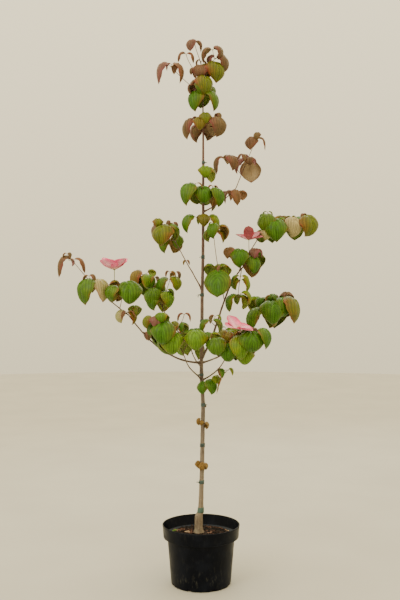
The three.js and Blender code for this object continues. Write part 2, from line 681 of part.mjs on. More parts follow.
// Pot: one turned wall with a stepped collar, and drain notches cut round its bottom edge.
function potSolid() {
  const p = POT;
  const profile = [
    [0, 0], [p.foot - 3, 0], [p.foot, 4], [p.body, p.ledge - 3], [p.body + 1, p.ledge],
    [p.collar, p.ledge], [p.rim - 1, p.height - 6], [p.rim, p.height - 4], [p.rim, p.height],
    [p.rim - p.lip, p.height], [p.collar - p.wall, p.ledge + 6], [p.body - 1, p.ledge + p.wall],
    [p.body - p.wall, p.ledge - 3], [p.foot - p.wall, p.base], [0, p.base],
  ].map(([radius, height]) => new THREE.Vector2(radius, height));
  const wall = new THREE.LatheGeometry(profile, p.sides);
  wall.rotateX(Math.PI / 2);
  let solid = toSolid(wall);
  for (let i = 0; i < DRAIN.count; i++) {
    const notch = new THREE.BoxGeometry(DRAIN.depth * 2, DRAIN.width, DRAIN.height * 2);
    notch.translate(p.foot, 0, 0);
    notch.rotateZ((i + 0.5) * Math.PI * 2 / DRAIN.count);
    solid = solid.subtract(toSolid(notch));
  }
  return largestBody(solid);
}

function compostSolid() {
  const c = COMPOST;
  const inner = POT.wall + GAP;
  const profile = [
    [0, POT.base + GAP], [POT.foot - inner - 0.3, POT.base + GAP], [POT.body - inner, POT.ledge - 3],
    [POT.body - inner, c.edge], [c.shoulderRadius, c.shoulder], [c.crownRadius, c.crown], [0, c.crown],
  ].map(([radius, height]) => new THREE.Vector2(radius, height));
  const mound = new THREE.LatheGeometry(profile, POT.sides);
  mound.rotateX(Math.PI / 2);
  return toSolid(mound);
}

function tieSolid([middle, height]) {
  const [low, high] = [middle - height / 2, middle + height / 2];
  const between = STEM.map((row) => row[0]).filter((z) => z > low && z < high);
  const ring = (out) => [low, ...between, high].map((z) => [stemAt(z).radius + GAP + out, z]);
  const inner = ring(0);
  return turned([...inner.slice(0, 1), ...ring(TIE_THICKNESS), ...inner.reverse()]);
}

const finish = (color, roughness) => new THREE.MeshStandardMaterial({ color, roughness, metalness: 0 });
const BLACK_PLASTIC = finish(0x17181b, 0.5);
const BARK_COMPOST = finish(0x4a2d22, 0.95);
const BARK = finish(0x84705f, 0.8);
const YOUNG_BARK = finish(0x7a4f42, 0.7);
const GREEN_TIE = finish(0x3f5f58, 0.6);
const GREEN_LEAF = finish(0x5a7d1c, 0.55);
const BRONZE_LEAF = finish(0x96654a, 0.6);

const tree = new THREE.Group();
tree.add(toMesh(potSolid(), 'pot', BLACK_PLASTIC));
tree.add(toMesh(compostSolid(), 'compost', BARK_COMPOST));
tree.add(toMesh(stemSolid(0), 'trunk', BARK));
TIES.forEach((tie, i) => tree.add(toMesh(tieSolid(tie), `tie_${i + 1}`, GREEN_TIE)));
for (const [name, bough] of Object.entries(BOUGHS)) {
  const { points, radii } = limbs[name];
  const solid = limbSolid(points, radii, BOUGH_SIDES).subtract(footCutter(bough.on));
  tree.add(toMesh(largestBody(solid), name, YOUNG_BARK));
}
for (const [name, mass] of Object.entries(MASSES)) {
  tree.add(toMesh(massSolid(name, mass), name, mass.bronze > 0.5 ? BRONZE_LEAF : GREEN_LEAF));
}

export default tree;
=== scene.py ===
import json
import math

import bmesh
import bpy
import numpy as np
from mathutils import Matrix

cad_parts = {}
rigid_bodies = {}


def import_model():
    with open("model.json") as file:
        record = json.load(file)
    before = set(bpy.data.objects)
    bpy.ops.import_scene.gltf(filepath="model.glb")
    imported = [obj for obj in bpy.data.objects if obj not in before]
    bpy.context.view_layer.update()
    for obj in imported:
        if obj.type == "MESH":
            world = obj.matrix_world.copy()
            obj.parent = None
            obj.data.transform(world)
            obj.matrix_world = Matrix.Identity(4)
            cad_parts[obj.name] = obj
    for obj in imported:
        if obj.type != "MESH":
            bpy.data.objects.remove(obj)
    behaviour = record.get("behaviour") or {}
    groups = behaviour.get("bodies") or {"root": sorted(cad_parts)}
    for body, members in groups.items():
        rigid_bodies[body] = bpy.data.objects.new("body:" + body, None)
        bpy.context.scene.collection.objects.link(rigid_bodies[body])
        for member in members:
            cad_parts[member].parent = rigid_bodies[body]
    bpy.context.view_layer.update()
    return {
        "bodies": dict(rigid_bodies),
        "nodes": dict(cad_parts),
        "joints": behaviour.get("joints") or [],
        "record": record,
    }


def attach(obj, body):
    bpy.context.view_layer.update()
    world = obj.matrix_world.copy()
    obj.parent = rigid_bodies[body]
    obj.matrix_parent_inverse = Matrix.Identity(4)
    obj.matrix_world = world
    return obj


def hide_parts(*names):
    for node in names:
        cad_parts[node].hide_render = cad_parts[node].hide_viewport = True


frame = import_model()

# The looks of a young pink kousa dogwood in a round nursery pot. Tables are in millimetres and
# degrees, +Z up, -Y to the front; make_piece turns millimetres into metres.

MM = 0.001

# Stem from the compost to its tip: height, sideways lean and radius.
STEM = [
  [188.3, -8.5, 20], [197, -8.5, 16.5], [215, -9, 15.2], [240, -9, 15.2],
  [254, -7, 15], [263, -2, 11.4], [285, -0.5, 10], [315, 0, 8.8], [380, 2, 8.5],
  [432, 4, 8.3], [444, 4, 9.8], [458, 4, 8.3], [560, 6, 7.9], [666, 8, 7.4],
  [767, 2, 7], [825, 1, 6.8], [905, 3, 6.4], [1075, 4, 6], [1219, 7, 5.6],
  [1391, 8, 5], [1560, 8, 4.4], [1700, 8, 3.6], [1789, 7, 2.6],
]

# Ties round the stem: height of the middle and height of the band.
TIES = [
  [271, 22], [376, 9], [515, 9], [666, 9], [779, 6], [981, 7], [1079, 8], [1221, 9], [1576, 8],
]

# Boughs: what each grows on and where, its tip, its slopes and radii at foot and tip.
BOUGHS = {
    "bough_low_left": {"on": "stem", "at": 760, "to": (-59, -80, 848), "rise": (38, 66),
        "radius": (2.7, 1.8)},
    "bough_left": {"on": "stem", "at": 825, "to": (-266, -55, 1003), "rise": (0, 54),
        "radius": (3.7, 2.2)},
    "bough_back_left": {"on": "stem", "at": 878, "to": (-138, 150, 997), "rise": (20, 48),
        "radius": (3, 2)},
    "bough_high_left": {"on": "stem", "at": 1093, "to": (-53, -15, 1198), "rise": (66, 60),
        "radius": (2.7, 1.8)},
    "bough_right": {"on": "stem", "at": 842, "to": (172, 60, 1198), "rise": (55, 42),
        "radius": (4.4, 2.4)},
    "bough_right_top": {"on": "bough_right", "at": 0.9, "to": (226, 110, 1309), "rise": (70, 60),
        "radius": (2.1, 1.7)},
    "bough_right_low": {"on": "stem", "at": 824, "to": (219, 180, 972), "rise": (8, 48),
        "radius": (3.3, 2.1)},
    "bough_low_right": {"on": "stem", "at": 758, "to": (85, -100, 842), "rise": (22, 52),
        "radius": (2.9, 1.9)},
    "bough_high_right": {"on": "stem", "at": 1391, "to": (134, 60, 1489), "rise": (25, 48),
        "radius": (2.5, 1.7)},
    "bough_back": {"on": "stem", "at": 806, "to": (-40, 170, 868), "rise": (15, 40),
        "radius": (2.9, 2)},
}

# Masses of foliage: what each grows on and where, the tip and slopes of its stem, its seed,
# its pairs of leaves (place on the shoot, heading, length, then the partner's heading and
# length where they aren't opposite and equal) and its side shoots.
MASSES = {
    "foliage_left": {"on": "bough_left", "at": 1, "to": (-475, -50, 1206), "rise": (36, 52),
        "seed": 181,
        "pairs": ((0.04, 350, 70, 215), (0.6, 205, 116, 320), (1, 186, 96, 350)),
        "shoots": (
            {"at": 0.27, "to": (-318, -72, 1122), "rise": (75, 84), "pairs": ((0.5, 200, 78),),
             "flower": {"stalk": 48, "spread": 118, "cup": 24, "tilt": 8, "facing": 260}},
            {"at": 0.14, "to": (-280, -66, 1110), "rise": (70, 60),
             "pairs": ((1, 276, 116, 110),)},
            {"at": 0.42, "to": (-346, -30, 1114), "rise": (60, 40), "pairs": ((1, 20, 74, 250),)},
        )},
    "foliage_left_bud": {"on": "bough_left", "at": 0.77, "to": (-196, -46, 935), "rise": (60, 70),
        "seed": 7,
        "pairs": ((1, 150, 44, 290),),
        "shoots": ()},
    "foliage_left_back": {"on": "bough_back_left", "at": 1, "to": (-236, 226, 1162),
        "rise": (66, 50), "seed": 97,
        "pairs": ((0.36, 235, 98), (0.52, 262, 104, 20, 88), (0.74, 288, 102, 80),
                  (0.9, 310, 96, 150), (1, 212, 104, 330)),
        "shoots": (
            {"at": 0.2, "to": (-124, 190, 1140), "rise": (80, 70),
             "pairs": ((0.42, 300, 94, 130), (1, 335, 92, 232))},
            {"at": 0.6, "to": (-190, 285, 1120), "rise": (30, 20), "pairs": ((1, 80, 100),)},
        )},
    "foliage_left_front": {"on": "bough_low_left", "at": 1, "to": (-168, -150, 990),
        "rise": (66, 28), "seed": 31,
        "pairs": ((0.46, 272, 126, 150), (0.78, 262, 128, 110), (1, 205, 68, 330)),
        "shoots": (
            {"at": 0.12, "to": (-20, -118, 932), "rise": (58, 36), "pairs": ((1, 284, 122, 120),)},
            {"at": 0.5, "to": (-62, -96, 1006), "rise": (60, 80),
             "pairs": ((0.55, 210, 66), (1, 180, 42))},
            {"at": 0.2, "to": (-122, -36, 906), "rise": (30, 8), "pairs": ((1, 232, 92, 60),)},
        )},
    "foliage_left_high": {"on": "bough_high_left", "at": 1, "to": (-134, -32, 1330),
        "rise": (60, 48), "seed": 155,
        "pairs": ((0.04, 130, 26), (0.96, 236, 124, 20, 96), (1, 352, 100, 150)),
        "shoots": (
            {"at": 0.55, "to": (-120, 66, 1290), "rise": (40, 20), "pairs": ((1, 60, 92),)},
        )},
    "foliage_right": {"on": "bough_right", "at": 1, "to": (210, 60, 1250), "rise": (48, 62),
        "seed": 200,
        "pairs": ((0.2, 300, 104, 60), (0.7, 318, 110, 120), (1, 190, 46)),
        "shoots": (
            {"at": 0.12, "to": (112, 22, 1246), "rise": (40, 50),
             "pairs": ((0.6, 262, 62), (1, 200, 60))},
            {"at": 0.1, "to": (152, 24, 1236), "rise": (60, 40), "pairs": ((1, 264, 106, 150),)},
            {"at": 0.3, "to": (182, 42, 1280), "rise": (78, 86), "pairs": (),
             "flower": {"stalk": 8, "spread": 106, "cup": 8, "tilt": 10, "facing": 262}},
        )},
    "foliage_right_hanging": {"on": "bough_right", "at": 0.94, "to": (139, -8, 1070),
        "rise": (-58, -84), "seed": 1061,
        "pairs": ((0.45, 184, 68), (1, 204, 84)),
        "shoots": ()},
    "foliage_right_top": {"on": "bough_right_top", "at": 1, "to": (414, 160, 1378),
        "rise": (58, 4), "seed": 73,
        "pairs": ((0.1, 280, 68), (0.42, 272, 120, 100), (0.62, 300, 100, 70),
                  (0.9, 276, 114, 130), (1, 350, 38)),
        "shoots": (
            {"at": 0.3, "to": (266, 120, 1380), "rise": (60, 30), "pairs": ((1, 240, 106, 60),)},
            {"at": 0.5, "to": (330, 205, 1380), "rise": (30, 10), "pairs": ((1, 80, 104),)},
        )},
    "foliage_right_low": {"on": "bough_right_low", "at": 1, "to": (350, 222, 1062),
        "rise": (70, 4), "seed": 490,
        "pairs": ((0.3, 210, 108), (0.48, 268, 124, 80), (0.68, 300, 114, 120),
                  (0.86, 284, 116, 60), (1, 5, 50)),
        "shoots": (
            {"at": 0.3, "to": (236, 262, 1058), "rise": (50, 20), "pairs": ((1, 130, 106),)},
        )},
    "foliage_right_front": {"on": "bough_low_right", "at": 1, "to": (196, -172, 950),
        "rise": (66, 24), "seed": 94,
        "pairs": ((0.3, 225, 104, 60), (0.56, 262, 118, 100), (0.82, 290, 118, 130),
                  (1, 315, 106, 190)),
        "shoots": (
            {"at": 0.1, "to": (62, -132, 908), "rise": (60, 30), "pairs": ((1, 262, 102, 100),)},
            {"at": 0.45, "to": (130, -176, 952), "rise": (60, 84), "pairs": (),
             "flower": {"stalk": 6, "spread": 108, "cup": 6, "tilt": 25, "facing": 320}},
            {"at": 0.25, "to": (152, -112, 876), "rise": (20, -10), "pairs": ((1, 290, 88, 60),)},
        )},
    "foliage_centre": {"on": "bough_right", "at": 0.58, "to": (44, -58, 1342), "rise": (66, 84),
        "seed": 103,
        "pairs": ((0.43, 268, 142, 60, 96), (0.88, 345, 68), (1, 180, 26)),
        "shoots": ()},
    "foliage_inner_right": {"on": "bough_right", "at": 0.31, "to": (38, -36, 980),
        "rise": (40, 30), "seed": 112,
        "pairs": ((1, 186, 72),),
        "shoots": ()},
    "foliage_right_high": {"on": "bough_high_right", "at": 1, "to": (212, 80, 1678),
        "rise": (68, 66), "seed": 232,
        "pairs": ((0.54, 70, 116, 200, 84), (0.98, 200, 70, 350)),
        "shoots": (
            {"at": 0.26, "to": (94, 48, 1594), "rise": (55, 30), "pairs": ((1, 200, 88, 340),)},
            {"at": 0.04, "to": (124, 44, 1464), "rise": (-60, -80), "pairs": ((1, 200, 72, 330),)},
        )},
    "foliage_middle_left": {"on": "stem", "at": 1462, "to": (-24, -26, 1476), "rise": (30, 10),
        "seed": 133,
        "pairs": ((0.5, 290, 104, 130), (1, 236, 116, 170, 70)),
        "shoots": ()},
    "foliage_middle_right": {"on": "stem", "at": 1450, "to": (38, -20, 1458), "rise": (24, 10),
        "seed": 143,
        "pairs": ((1, 290, 104, 30),),
        "shoots": (
            {"at": 0.5, "to": (44, 0, 1486), "rise": (60, 80), "pairs": ((1, 200, 36),)},
        )},
    "foliage_middle_top": {"on": "stem", "at": 1524, "to": (11, -22, 1544), "rise": (50, 70),
        "seed": 2151,
        "pairs": ((1, 274, 80, 60),),
        "shoots": ()},
    "foliage_middle_low": {"on": "stem", "at": 1352, "to": (-16, -20, 1366), "rise": (40, 50),
        "seed": 163,
        "pairs": ((1, 214, 92, 70),),
        "shoots": (
            {"at": 0.4, "to": (22, -18, 1366), "rise": (30, 50), "pairs": ((1, 350, 80, 110),)},
        )},
    "foliage_middle_back": {"on": "stem", "at": 1440, "to": (10, 62, 1474), "rise": (30, 30),
        "seed": 172,
        "pairs": ((0.55, 20, 94), (1, 100, 104, 240)),
        "shoots": ()},
    "foliage_upper_front": {"on": "stem", "at": 1706, "to": (-14, -24, 1724), "rise": (30, 40),
        "seed": 181,
        "pairs": ((1, 186, 104, 290, 78),),
        "shoots": (
            {"at": 0.5, "to": (34, -16, 1724), "rise": (30, 40), "pairs": ((1, 330, 104, 60),)},
        )},
    "foliage_upper_back": {"on": "stem", "at": 1690, "to": (8, 40, 1712), "rise": (30, 40),
        "seed": 194,
        "pairs": ((1, 40, 94, 150),),
        "shoots": ()},
    "foliage_top": {"on": "stem", "at": 1789, "to": (0, 0, 1955), "rise": (90, 90), "seed": 251,
        "pairs": ((0.24, 215, 100, 325), (0.32, 60, 84, 130), (0.52, 285, 104, 160),
                  (0.84, 232, 78, 70, 62), (1, 190, 40)),
        "shoots": (
            {"at": 0.2, "to": (-112, -20, 1930), "rise": (42, 46), "pairs": ((1, 186, 90),)},
            {"at": 0.6, "to": (-56, -10, 1979), "rise": (50, 74),
             "pairs": ((0.4, 250, 42), (1, 184, 54))},
            {"at": 0.92, "to": (-24, 0, 2028), "rise": (80, 84), "pairs": ((1, 190, 52),)},
            {"at": 0.5, "to": (52, 12, 1968), "rise": (60, 40),
             "pairs": ((0.6, 312, 112, 110, 84), (1, 345, 90, 235, 60))},
        )},
    "foliage_lowest": {"on": "stem", "at": 732, "to": (22, -24, 748), "rise": (30, 30),
        "seed": 211,
        "pairs": ((1, 330, 70, 240),),
        "shoots": ()},
    "foliage_low_right_bud": {"on": "bough_low_right", "at": 0.62, "to": (100, -62, 802),
        "rise": (0, 0), "seed": 222,
        "pairs": ((0.2, 250, 46), (1, 208, 57, 20, 40)),
        "shoots": ()},
    "foliage_back": {"on": "bough_back", "at": 1, "to": (-96, 252, 944), "rise": (50, 20),
        "seed": 233,
        "pairs": ((0.2, 20, 104), (0.55, 90, 112, 250), (0.85, 170, 104), (1, 120, 52)),
        "shoots": (
            {"at": 0.3, "to": (-30, 240, 925), "rise": (50, 30), "pairs": ((1, 60, 102),)},
        )},
    "foliage_back_right": {"on": "bough_right_low", "at": 0.55, "to": (150, 245, 934),
        "rise": (40, 30), "seed": 426,
        "pairs": ((0.5, 0, 100), (0.95, 100, 108, 210)),
        "shoots": (
            {"at": 0.5, "to": (96, 216, 916), "rise": (50, 30), "pairs": ((1, 150, 102, 40),)},
        )},
}

# Letters for the autumn tints of each mass's leaves, dealt out in turn as they grow:
# g green, y yellow-green, o olive, b bronze, r russet, p purple, w turned with its pale face out.
TINTS = {
    "foliage_left": "owgrbwbbbrooggobrogbpogoog", "foliage_left_bud": "rb",
    "foliage_left_back": "gygobgygoygygboggbogbgygboby",
    "foliage_left_front": "ygggopygogbrgbggyggg", "foliage_left_high": "obogbobogbobogggg",
    "foliage_right": "gbrogpporrbggpb", "foliage_right_hanging": "yygygygy",
    "foliage_right_top": "wgggwobrgbogggogygbgogbg",
    "foliage_right_low": "gyggyggyobrgygogbgogbgggg",
    "foliage_right_front": "ggypygboggyybogobgbgygb", "foliage_centre": "gyoggybgggo",
    "foliage_inner_right": "ggyb", "foliage_right_high": "bpbpbbbbbrbpbbbprrp",
    "foliage_middle_left": "gggbo", "foliage_middle_right": "grrgb", "foliage_middle_top": "yy",
    "foliage_middle_low": "gyog", "foliage_middle_back": "ogg",
    "foliage_upper_front": "bobbrbrbbpo", "foliage_upper_back": "bbo",
    "foliage_top": "ggobgoobobbprbrbrpboobrbppbggbbbproobb", "foliage_lowest": "yggyg",
    "foliage_low_right_bud": "groy", "foliage_back": "gygogobggobygogbg",
    "foliage_back_right": "gogygogygog",
}

# Numbers of the rule of growth, the same as in the solids.
GROWTH = {
    "heading_spread": 14, "length_spread": 0.07, "lift": (28, 50), "fall": (80, 100), "roll": 14,
    "swirl": 26, "ratio": (0.92, 1.08), "droop": (0.8, 1.4), "young_leaf": 58, "long_leaf": 80,
    "twig_chance": 0.1, "twig_length": (18, 30), "twig_leaf": (30, 42), "twig_turn": 40,
    "twig_pair": 90,
}
BOUGH_STEPS = 8
TWIG_STEPS = 3
SWEEP_HOLD = 0.36
GAP = 0.3
STALK_LENGTH = 9
LEAF = {"broad": 0.68, "young": 0.42, "arch": 3, "droop": 0.35, "stations": 10}
BRACT = {"broad": 0.66, "curl": 0.5, "long": 0.52, "short": 0.48, "arch": 8, "eye": 5}
LIMB_CLEARANCE = 2.5
SPACE_CLEARANCE = 5
TURNS = (0, 16, -16, 34, -34, 56, -56)
UP = np.array([0.0, 0.0, 1.0])
RIGHT = np.array([1.0, 0.0, 0.0])
BACK = np.array([0.0, 1.0, 0.0])
AXES = {"right": RIGHT, "back": BACK, "up": UP}


def mix(span, share):
    return span[0] + (span[1] - span[0]) * share


def unit(v):
    return v / np.linalg.norm(v)


# The rule of growth

def stem_at(height):
    rows = np.array(STEM, float)
    height = min(height, rows[-1, 0])
    return (np.array([np.interp(height, rows[:, 0], rows[:, 1]), 0, height]),
            float(np.interp(height, rows[:, 0], rows[:, 2])))


def sweep(start, end, rise):
    """Control points of a curve that leaves and arrives at the given slopes."""
    span = end - start
    flat = span * [1, 1, 0]
    if np.linalg.norm(flat) < 1:
        flat = RIGHT
    flat = unit(flat)
    slopes = [flat * math.cos(math.radians(a)) + UP * math.sin(math.radians(a)) for a in rise]
    hold = np.linalg.norm(span) * SWEEP_HOLD
    return np.array([start, start + slopes[0] * hold, end - slopes[1] * hold, end])


def on_curve(control, share):
    share = np.atleast_1d(np.asarray(share, float))[:, None]
    rest = 1 - share
    return (control[0] * rest ** 3 + 3 * control[1] * rest ** 2 * share
            + 3 * control[2] * rest * share ** 2 + control[3] * share ** 3)


def on_line(points, at):
    place = at * (len(points) - 1)
    i = min(int(place), len(points) - 2)
    return points[i] + (points[i + 1] - points[i]) * (place - i)


stem_rows = np.array(STEM, float)
limbs = {"stem": {"points": np.stack([stem_rows[:, 1], 0 * stem_rows[:, 0], stem_rows[:, 0]], 1),
                  "radii": stem_rows[:, 2]}}
for name, bough in BOUGHS.items():
    if bough["on"] == "stem":
        start = stem_at(bough["at"])[0]
    else:
        start = on_curve(limbs[bough["on"]]["curve"], bough["at"])[0]
    curve = sweep(start, np.array(bough["to"], float), bough["rise"])
    shares = np.arange(BOUGH_STEPS + 1) / BOUGH_STEPS
    limbs[name] = {"curve": curve, "points": on_curve(curve, shares),
                   "radii": mix(bough["radius"], shares)}


def shoots_of(mass):
    """Shoots of a mass, its stem first."""
    if mass["on"] == "stem":
        start = stem_at(mass["at"])[0]
    else:
        start = on_curve(limbs[mass["on"]]["curve"], mass["at"])[0]
    if mass["at"] in (1, STEM[-1][0]):
        line = limbs[mass["on"]]["points"]
        start = start + (UP if mass["on"] == "stem" else unit(line[-1] - line[-2])) * GAP
    shoots = []
    for plan in [mass, *mass["shoots"]]:
        foot = on_line(shoots[0]["points"], plan["at"]) if shoots else start
        curve = sweep(foot, np.array(plan["to"], float), plan["rise"])
        shoots.append({"plan": plan, "curve": curve,
                       "points": on_curve(curve, np.arange(TWIG_STEPS + 1) / TWIG_STEPS)})
    return shoots


growth = {name: shoots_of(mass) for name, mass in MASSES.items()}


def dice(seed):
    """Repeatable random numbers between 0 and 1."""
    state = seed * 7919
    while True:
        state = state * 48271 % 2147483647
        yield state / 2147483647


def outline(t):
    """Half width of a blade from its base (0) to its tip (1), over its greatest half width."""
    t = np.asarray(t, float)
    point = np.clip((t - 0.72) / 0.28, 0, 1)
    point = point * point * (3 - 2 * point)
    return np.maximum(0, np.sin(math.pi * t ** 0.72)) ** 0.85 * (1 - 0.35 * point)


def midrib(leaf, curl=0.0):
    """Places along a leaf with the directions across the blade and out of its upper face."""
    t = np.arange(LEAF["stations"] + 1) / LEAF["stations"]
    pitch = np.radians(leaf["lift"] - (leaf["lift"] + leaf["fall"]) * (1 - (1 - t) ** LEAF["arch"])
                       - curl * np.clip((t - 0.35) / 0.65, 0, 1) ** 1.5)
    turn = np.radians(leaf["heading"] + leaf["swirl"] * t * t)
    ahead = np.cos(turn)[:, None] * leaf["right"] + np.sin(turn)[:, None] * leaf["back"]
    along = ahead * np.cos(pitch)[:, None] + leaf["up"] * np.sin(pitch)[:, None]
    steps = along[:-1] * leaf["length"] / LEAF["stations"]
    start = leaf["root"] + along[0] * leaf["stalk"]
    places = np.vstack([start, start + np.cumsum(steps, 0)])
    level = np.cross(ahead, leaf["up"])
    top = np.cross(level, along)
    roll = math.radians(leaf["roll"])
    across = level * math.cos(roll) + top * math.sin(roll)
    face = top * math.cos(roll) - level * math.sin(roll)
    return t, places, along, across, face


def sheet_of(leaf):
    """Coarse sheet of a leaf for the tests of its room."""
    t, places, _, across, face = midrib(leaf)
    half = (leaf["length"] * leaf["ratio"] * 0.5 * outline(t))[:, None]
    hang = face * half * LEAF["droop"] * leaf["droop"]
    rows = np.stack([places + across * half * u - hang * abs(u) for u in (-1, 0, 1)], 1)[::2]
    lines = [(rows[i][j], rows[i + 1][j]) for i in range(5) for j in range(3)]
    triangles = []
    for i in range(5):
        for j in range(2):
            triangles.append((rows[i][j], rows[i][j + 1], rows[i + 1][j + 1]))
            triangles.append((rows[i][j], rows[i + 1][j + 1], rows[i + 1][j]))
    return {"points": rows.reshape(-1, 3), "lines": np.array(lines),
            "triangles": np.array(triangles), "centre": rows[3][1],
            "reach": leaf["length"] * 0.62}


def pierces(lines, triangles):
    """Whether any of some lines goes through any of some triangles."""
    a = triangles[None, :, 0]
    ab = triangles[None, :, 1] - a
    ac = triangles[None, :, 2] - a
    start = lines[:, None, 0]
    way = lines[:, None, 1] - start
    p = np.cross(way, ac)
    det = (ab * p).sum(2)
    real = np.abs(det) >= 1e-9
    part = 1 / np.where(real, det, 1)
    s = start - a
    u = (s * p).sum(2) * part
    q = np.cross(s, ab)
    v = (way * q).sum(2) * part
    t = (ac * q).sum(2) * part
    return bool((real & (u >= 0) & (v >= 0) & (u + v <= 1) & (t >= 0) & (t <= 1)).any())


def segments(lines):
    return np.concatenate([np.stack([line[:-1], line[1:]], 1) for line in lines])


def distance(points, parts, thick=0):
    """Distance from each point to the nearest of some segments, less their radii."""
    start = parts[None, :, 0]
    way = parts[None, :, 1] - start
    offset = points[:, None] - start
    share = np.clip((offset * way).sum(2) / (way * way).sum(2), 0, 1)
    gap = np.linalg.norm(offset - way * share[..., None], axis=2)
    if np.ndim(thick):
        gap = gap - (thick[None, :, 0] + (thick[:, 1] - thick[:, 0])[None] * share)
    return gap.min()


limb_parts = segments([limb["points"] for limb in limbs.values()])
limb_radii = np.concatenate([np.stack([limb["radii"][:-1], limb["radii"][1:]], 1)
                             for limb in limbs.values()])
shoot_parts = {name: segments([shoot["points"] for shoot in shoots])
               for name, shoots in growth.items()}
all_parts = np.concatenate([limb_parts, *shoot_parts.values()])
other_parts = {name: np.concatenate([parts for other, parts in shoot_parts.items()
                                     if other != name]) for name in growth}
taken = []


def clear_of_limbs(points):
    return distance(points, limb_parts, limb_radii) > LIMB_CLEARANCE


def in_own_space(points, name):
    """A mass's space is what the shoots and leaves of the other masses leave free."""
    if distance(points, other_parts[name]) <= SPACE_CLEARANCE:
        return False
    for sheet in taken:
        if sheet["owner"] != name:
            near = points[np.linalg.norm(points - sheet["centre"], axis=1) <= sheet["reach"]]
            if len(near):
                gaps = np.linalg.norm(near[:, None] - sheet["points"][None], axis=2)
                if gaps.min() <= SPACE_CLEARANCE:
                    return False
    return True


def crosses(one, two):
    """Whether two sheets pass through each other."""
    if np.linalg.norm(one["centre"] - two["centre"]) > one["reach"] + two["reach"]:
        return False
    return pierces(one["lines"], two["triangles"]) or pierces(two["lines"], one["triangles"])


def fits(sheet, name):
    """Whether a leaf of a mass has room clear of limbs and of every leaf so far."""
    return (clear_of_limbs(sheet["points"]) and in_own_space(sheet["points"], name)
            and not any(crosses(sheet, other) for other in taken))


def grow(name, mass):
    """Leaves, side twigs and flowers of a mass that found room."""
    roll = dice(mass["seed"])
    grown = {"leaves": [], "twigs": [], "flowers": []}

    def spread():
        return 2 * next(roll) - 1

    def settle(plan):
        for turn in TURNS:
            leaf = dict(plan, heading=plan["heading"] + turn)
            sheet = dict(sheet_of(leaf), owner=name)
            if fits(sheet, name) and not pierces(all_parts, sheet["triangles"]):
                taken.append(sheet)
                grown["leaves"].append(leaf)
                return

    def new_leaf(root, heading, length, seat):
        young = length < GROWTH["young_leaf"]
        leaf = {**AXES, "root": root, "seat": seat, "young": young}
        leaf["heading"] = heading + GROWTH["heading_spread"] * spread()
        leaf["length"] = length * (1 + GROWTH["length_spread"] * spread())
        leaf["ratio"] = LEAF["young" if young else "broad"] * mix(GROWTH["ratio"], next(roll))
        leaf["lift"] = mix(GROWTH["lift"], next(roll))
        leaf["fall"] = mix(GROWTH["fall"], next(roll))
        leaf["roll"] = GROWTH["roll"] * spread()
        leaf["swirl"] = GROWTH["swirl"] * spread()
        leaf["stalk"] = STALK_LENGTH / 2 if young else STALK_LENGTH
        leaf["droop"] = mix(GROWTH["droop"], next(roll))
        if not young:
            next(roll)  # The rule of the solids draws once more here.
        return leaf

    for shoot in growth[name]:
        plan, line = shoot["plan"], shoot["points"]
        for at, heading, length, *rest in plan["pairs"]:
            partner = rest[0] if rest else heading + 180
            partner_length = rest[1] if len(rest) > 1 else length
            root = on_line(line, at)
            seat = on_curve(shoot["curve"], at)[0]
            for way, size in ((heading, length), (partner, partner_length)):
                settle(new_leaf(root, way, size, seat))
                chance = next(roll)
                reach = mix(GROWTH["twig_length"], next(roll))
                small = mix(GROWTH["twig_leaf"], next(roll))
                if chance < GROWTH["twig_chance"] and size > GROWTH["long_leaf"]:
                    turn = way + GROWTH["twig_turn"]
                    angle = math.radians(turn)
                    tip = root + np.array([reach * math.cos(angle), reach * math.sin(angle), reach])
                    if in_own_space(tip[None], name) and clear_of_limbs(tip[None]):
                        grown["twigs"].append((seat, tip))
                        settle(new_leaf(tip, turn - GROWTH["twig_pair"], small, tip))
                        settle(new_leaf(tip, turn + GROWTH["twig_pair"], small, tip))
        if plan.get("flower"):
            grown["flowers"].append(grow_flower(line[-1], plan["flower"]))
    return grown


def grow_flower(foot, plan):
    """A stalk that goes on from its shoot's tip, four bracts in a cross and a round eye."""
    tilt, facing = math.radians(plan["tilt"]), math.radians(plan["facing"])
    lean = np.array([math.cos(facing), math.sin(facing), 0])
    up = UP * math.cos(tilt) + lean * math.sin(tilt)
    base = foot + UP * plan["stalk"]
    right = unit(np.cross(BACK, up))
    back = np.cross(up, right)
    cup = plan["cup"]
    bracts = [{"root": base, "right": right, "back": back, "up": up, "heading": heading,
               "length": plan["spread"] * BRACT["short" if i % 2 else "long"],
               "ratio": BRACT["broad"], "lift": cup - BRACT["arch"], "fall": -cup - BRACT["arch"],
               "roll": 0, "swirl": 0, "stalk": BRACT["eye"] / 2, "droop": -BRACT["curl"]}
              for i, heading in enumerate((53, 143, 233, 323))]
    return {"foot": foot, "base": base, "up": up, "bracts": bracts}


grown = {name: grow(name, mass) for name, mass in MASSES.items()}


# Small helpers for meshes

def placed(name, data):
    """An object in the scene."""
    made = bpy.data.objects.new(name, data)
    bpy.context.scene.collection.objects.link(made)
    return made


def hand_over(piece, nodes):
    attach(piece, "root")
    if nodes:
        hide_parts(*nodes)


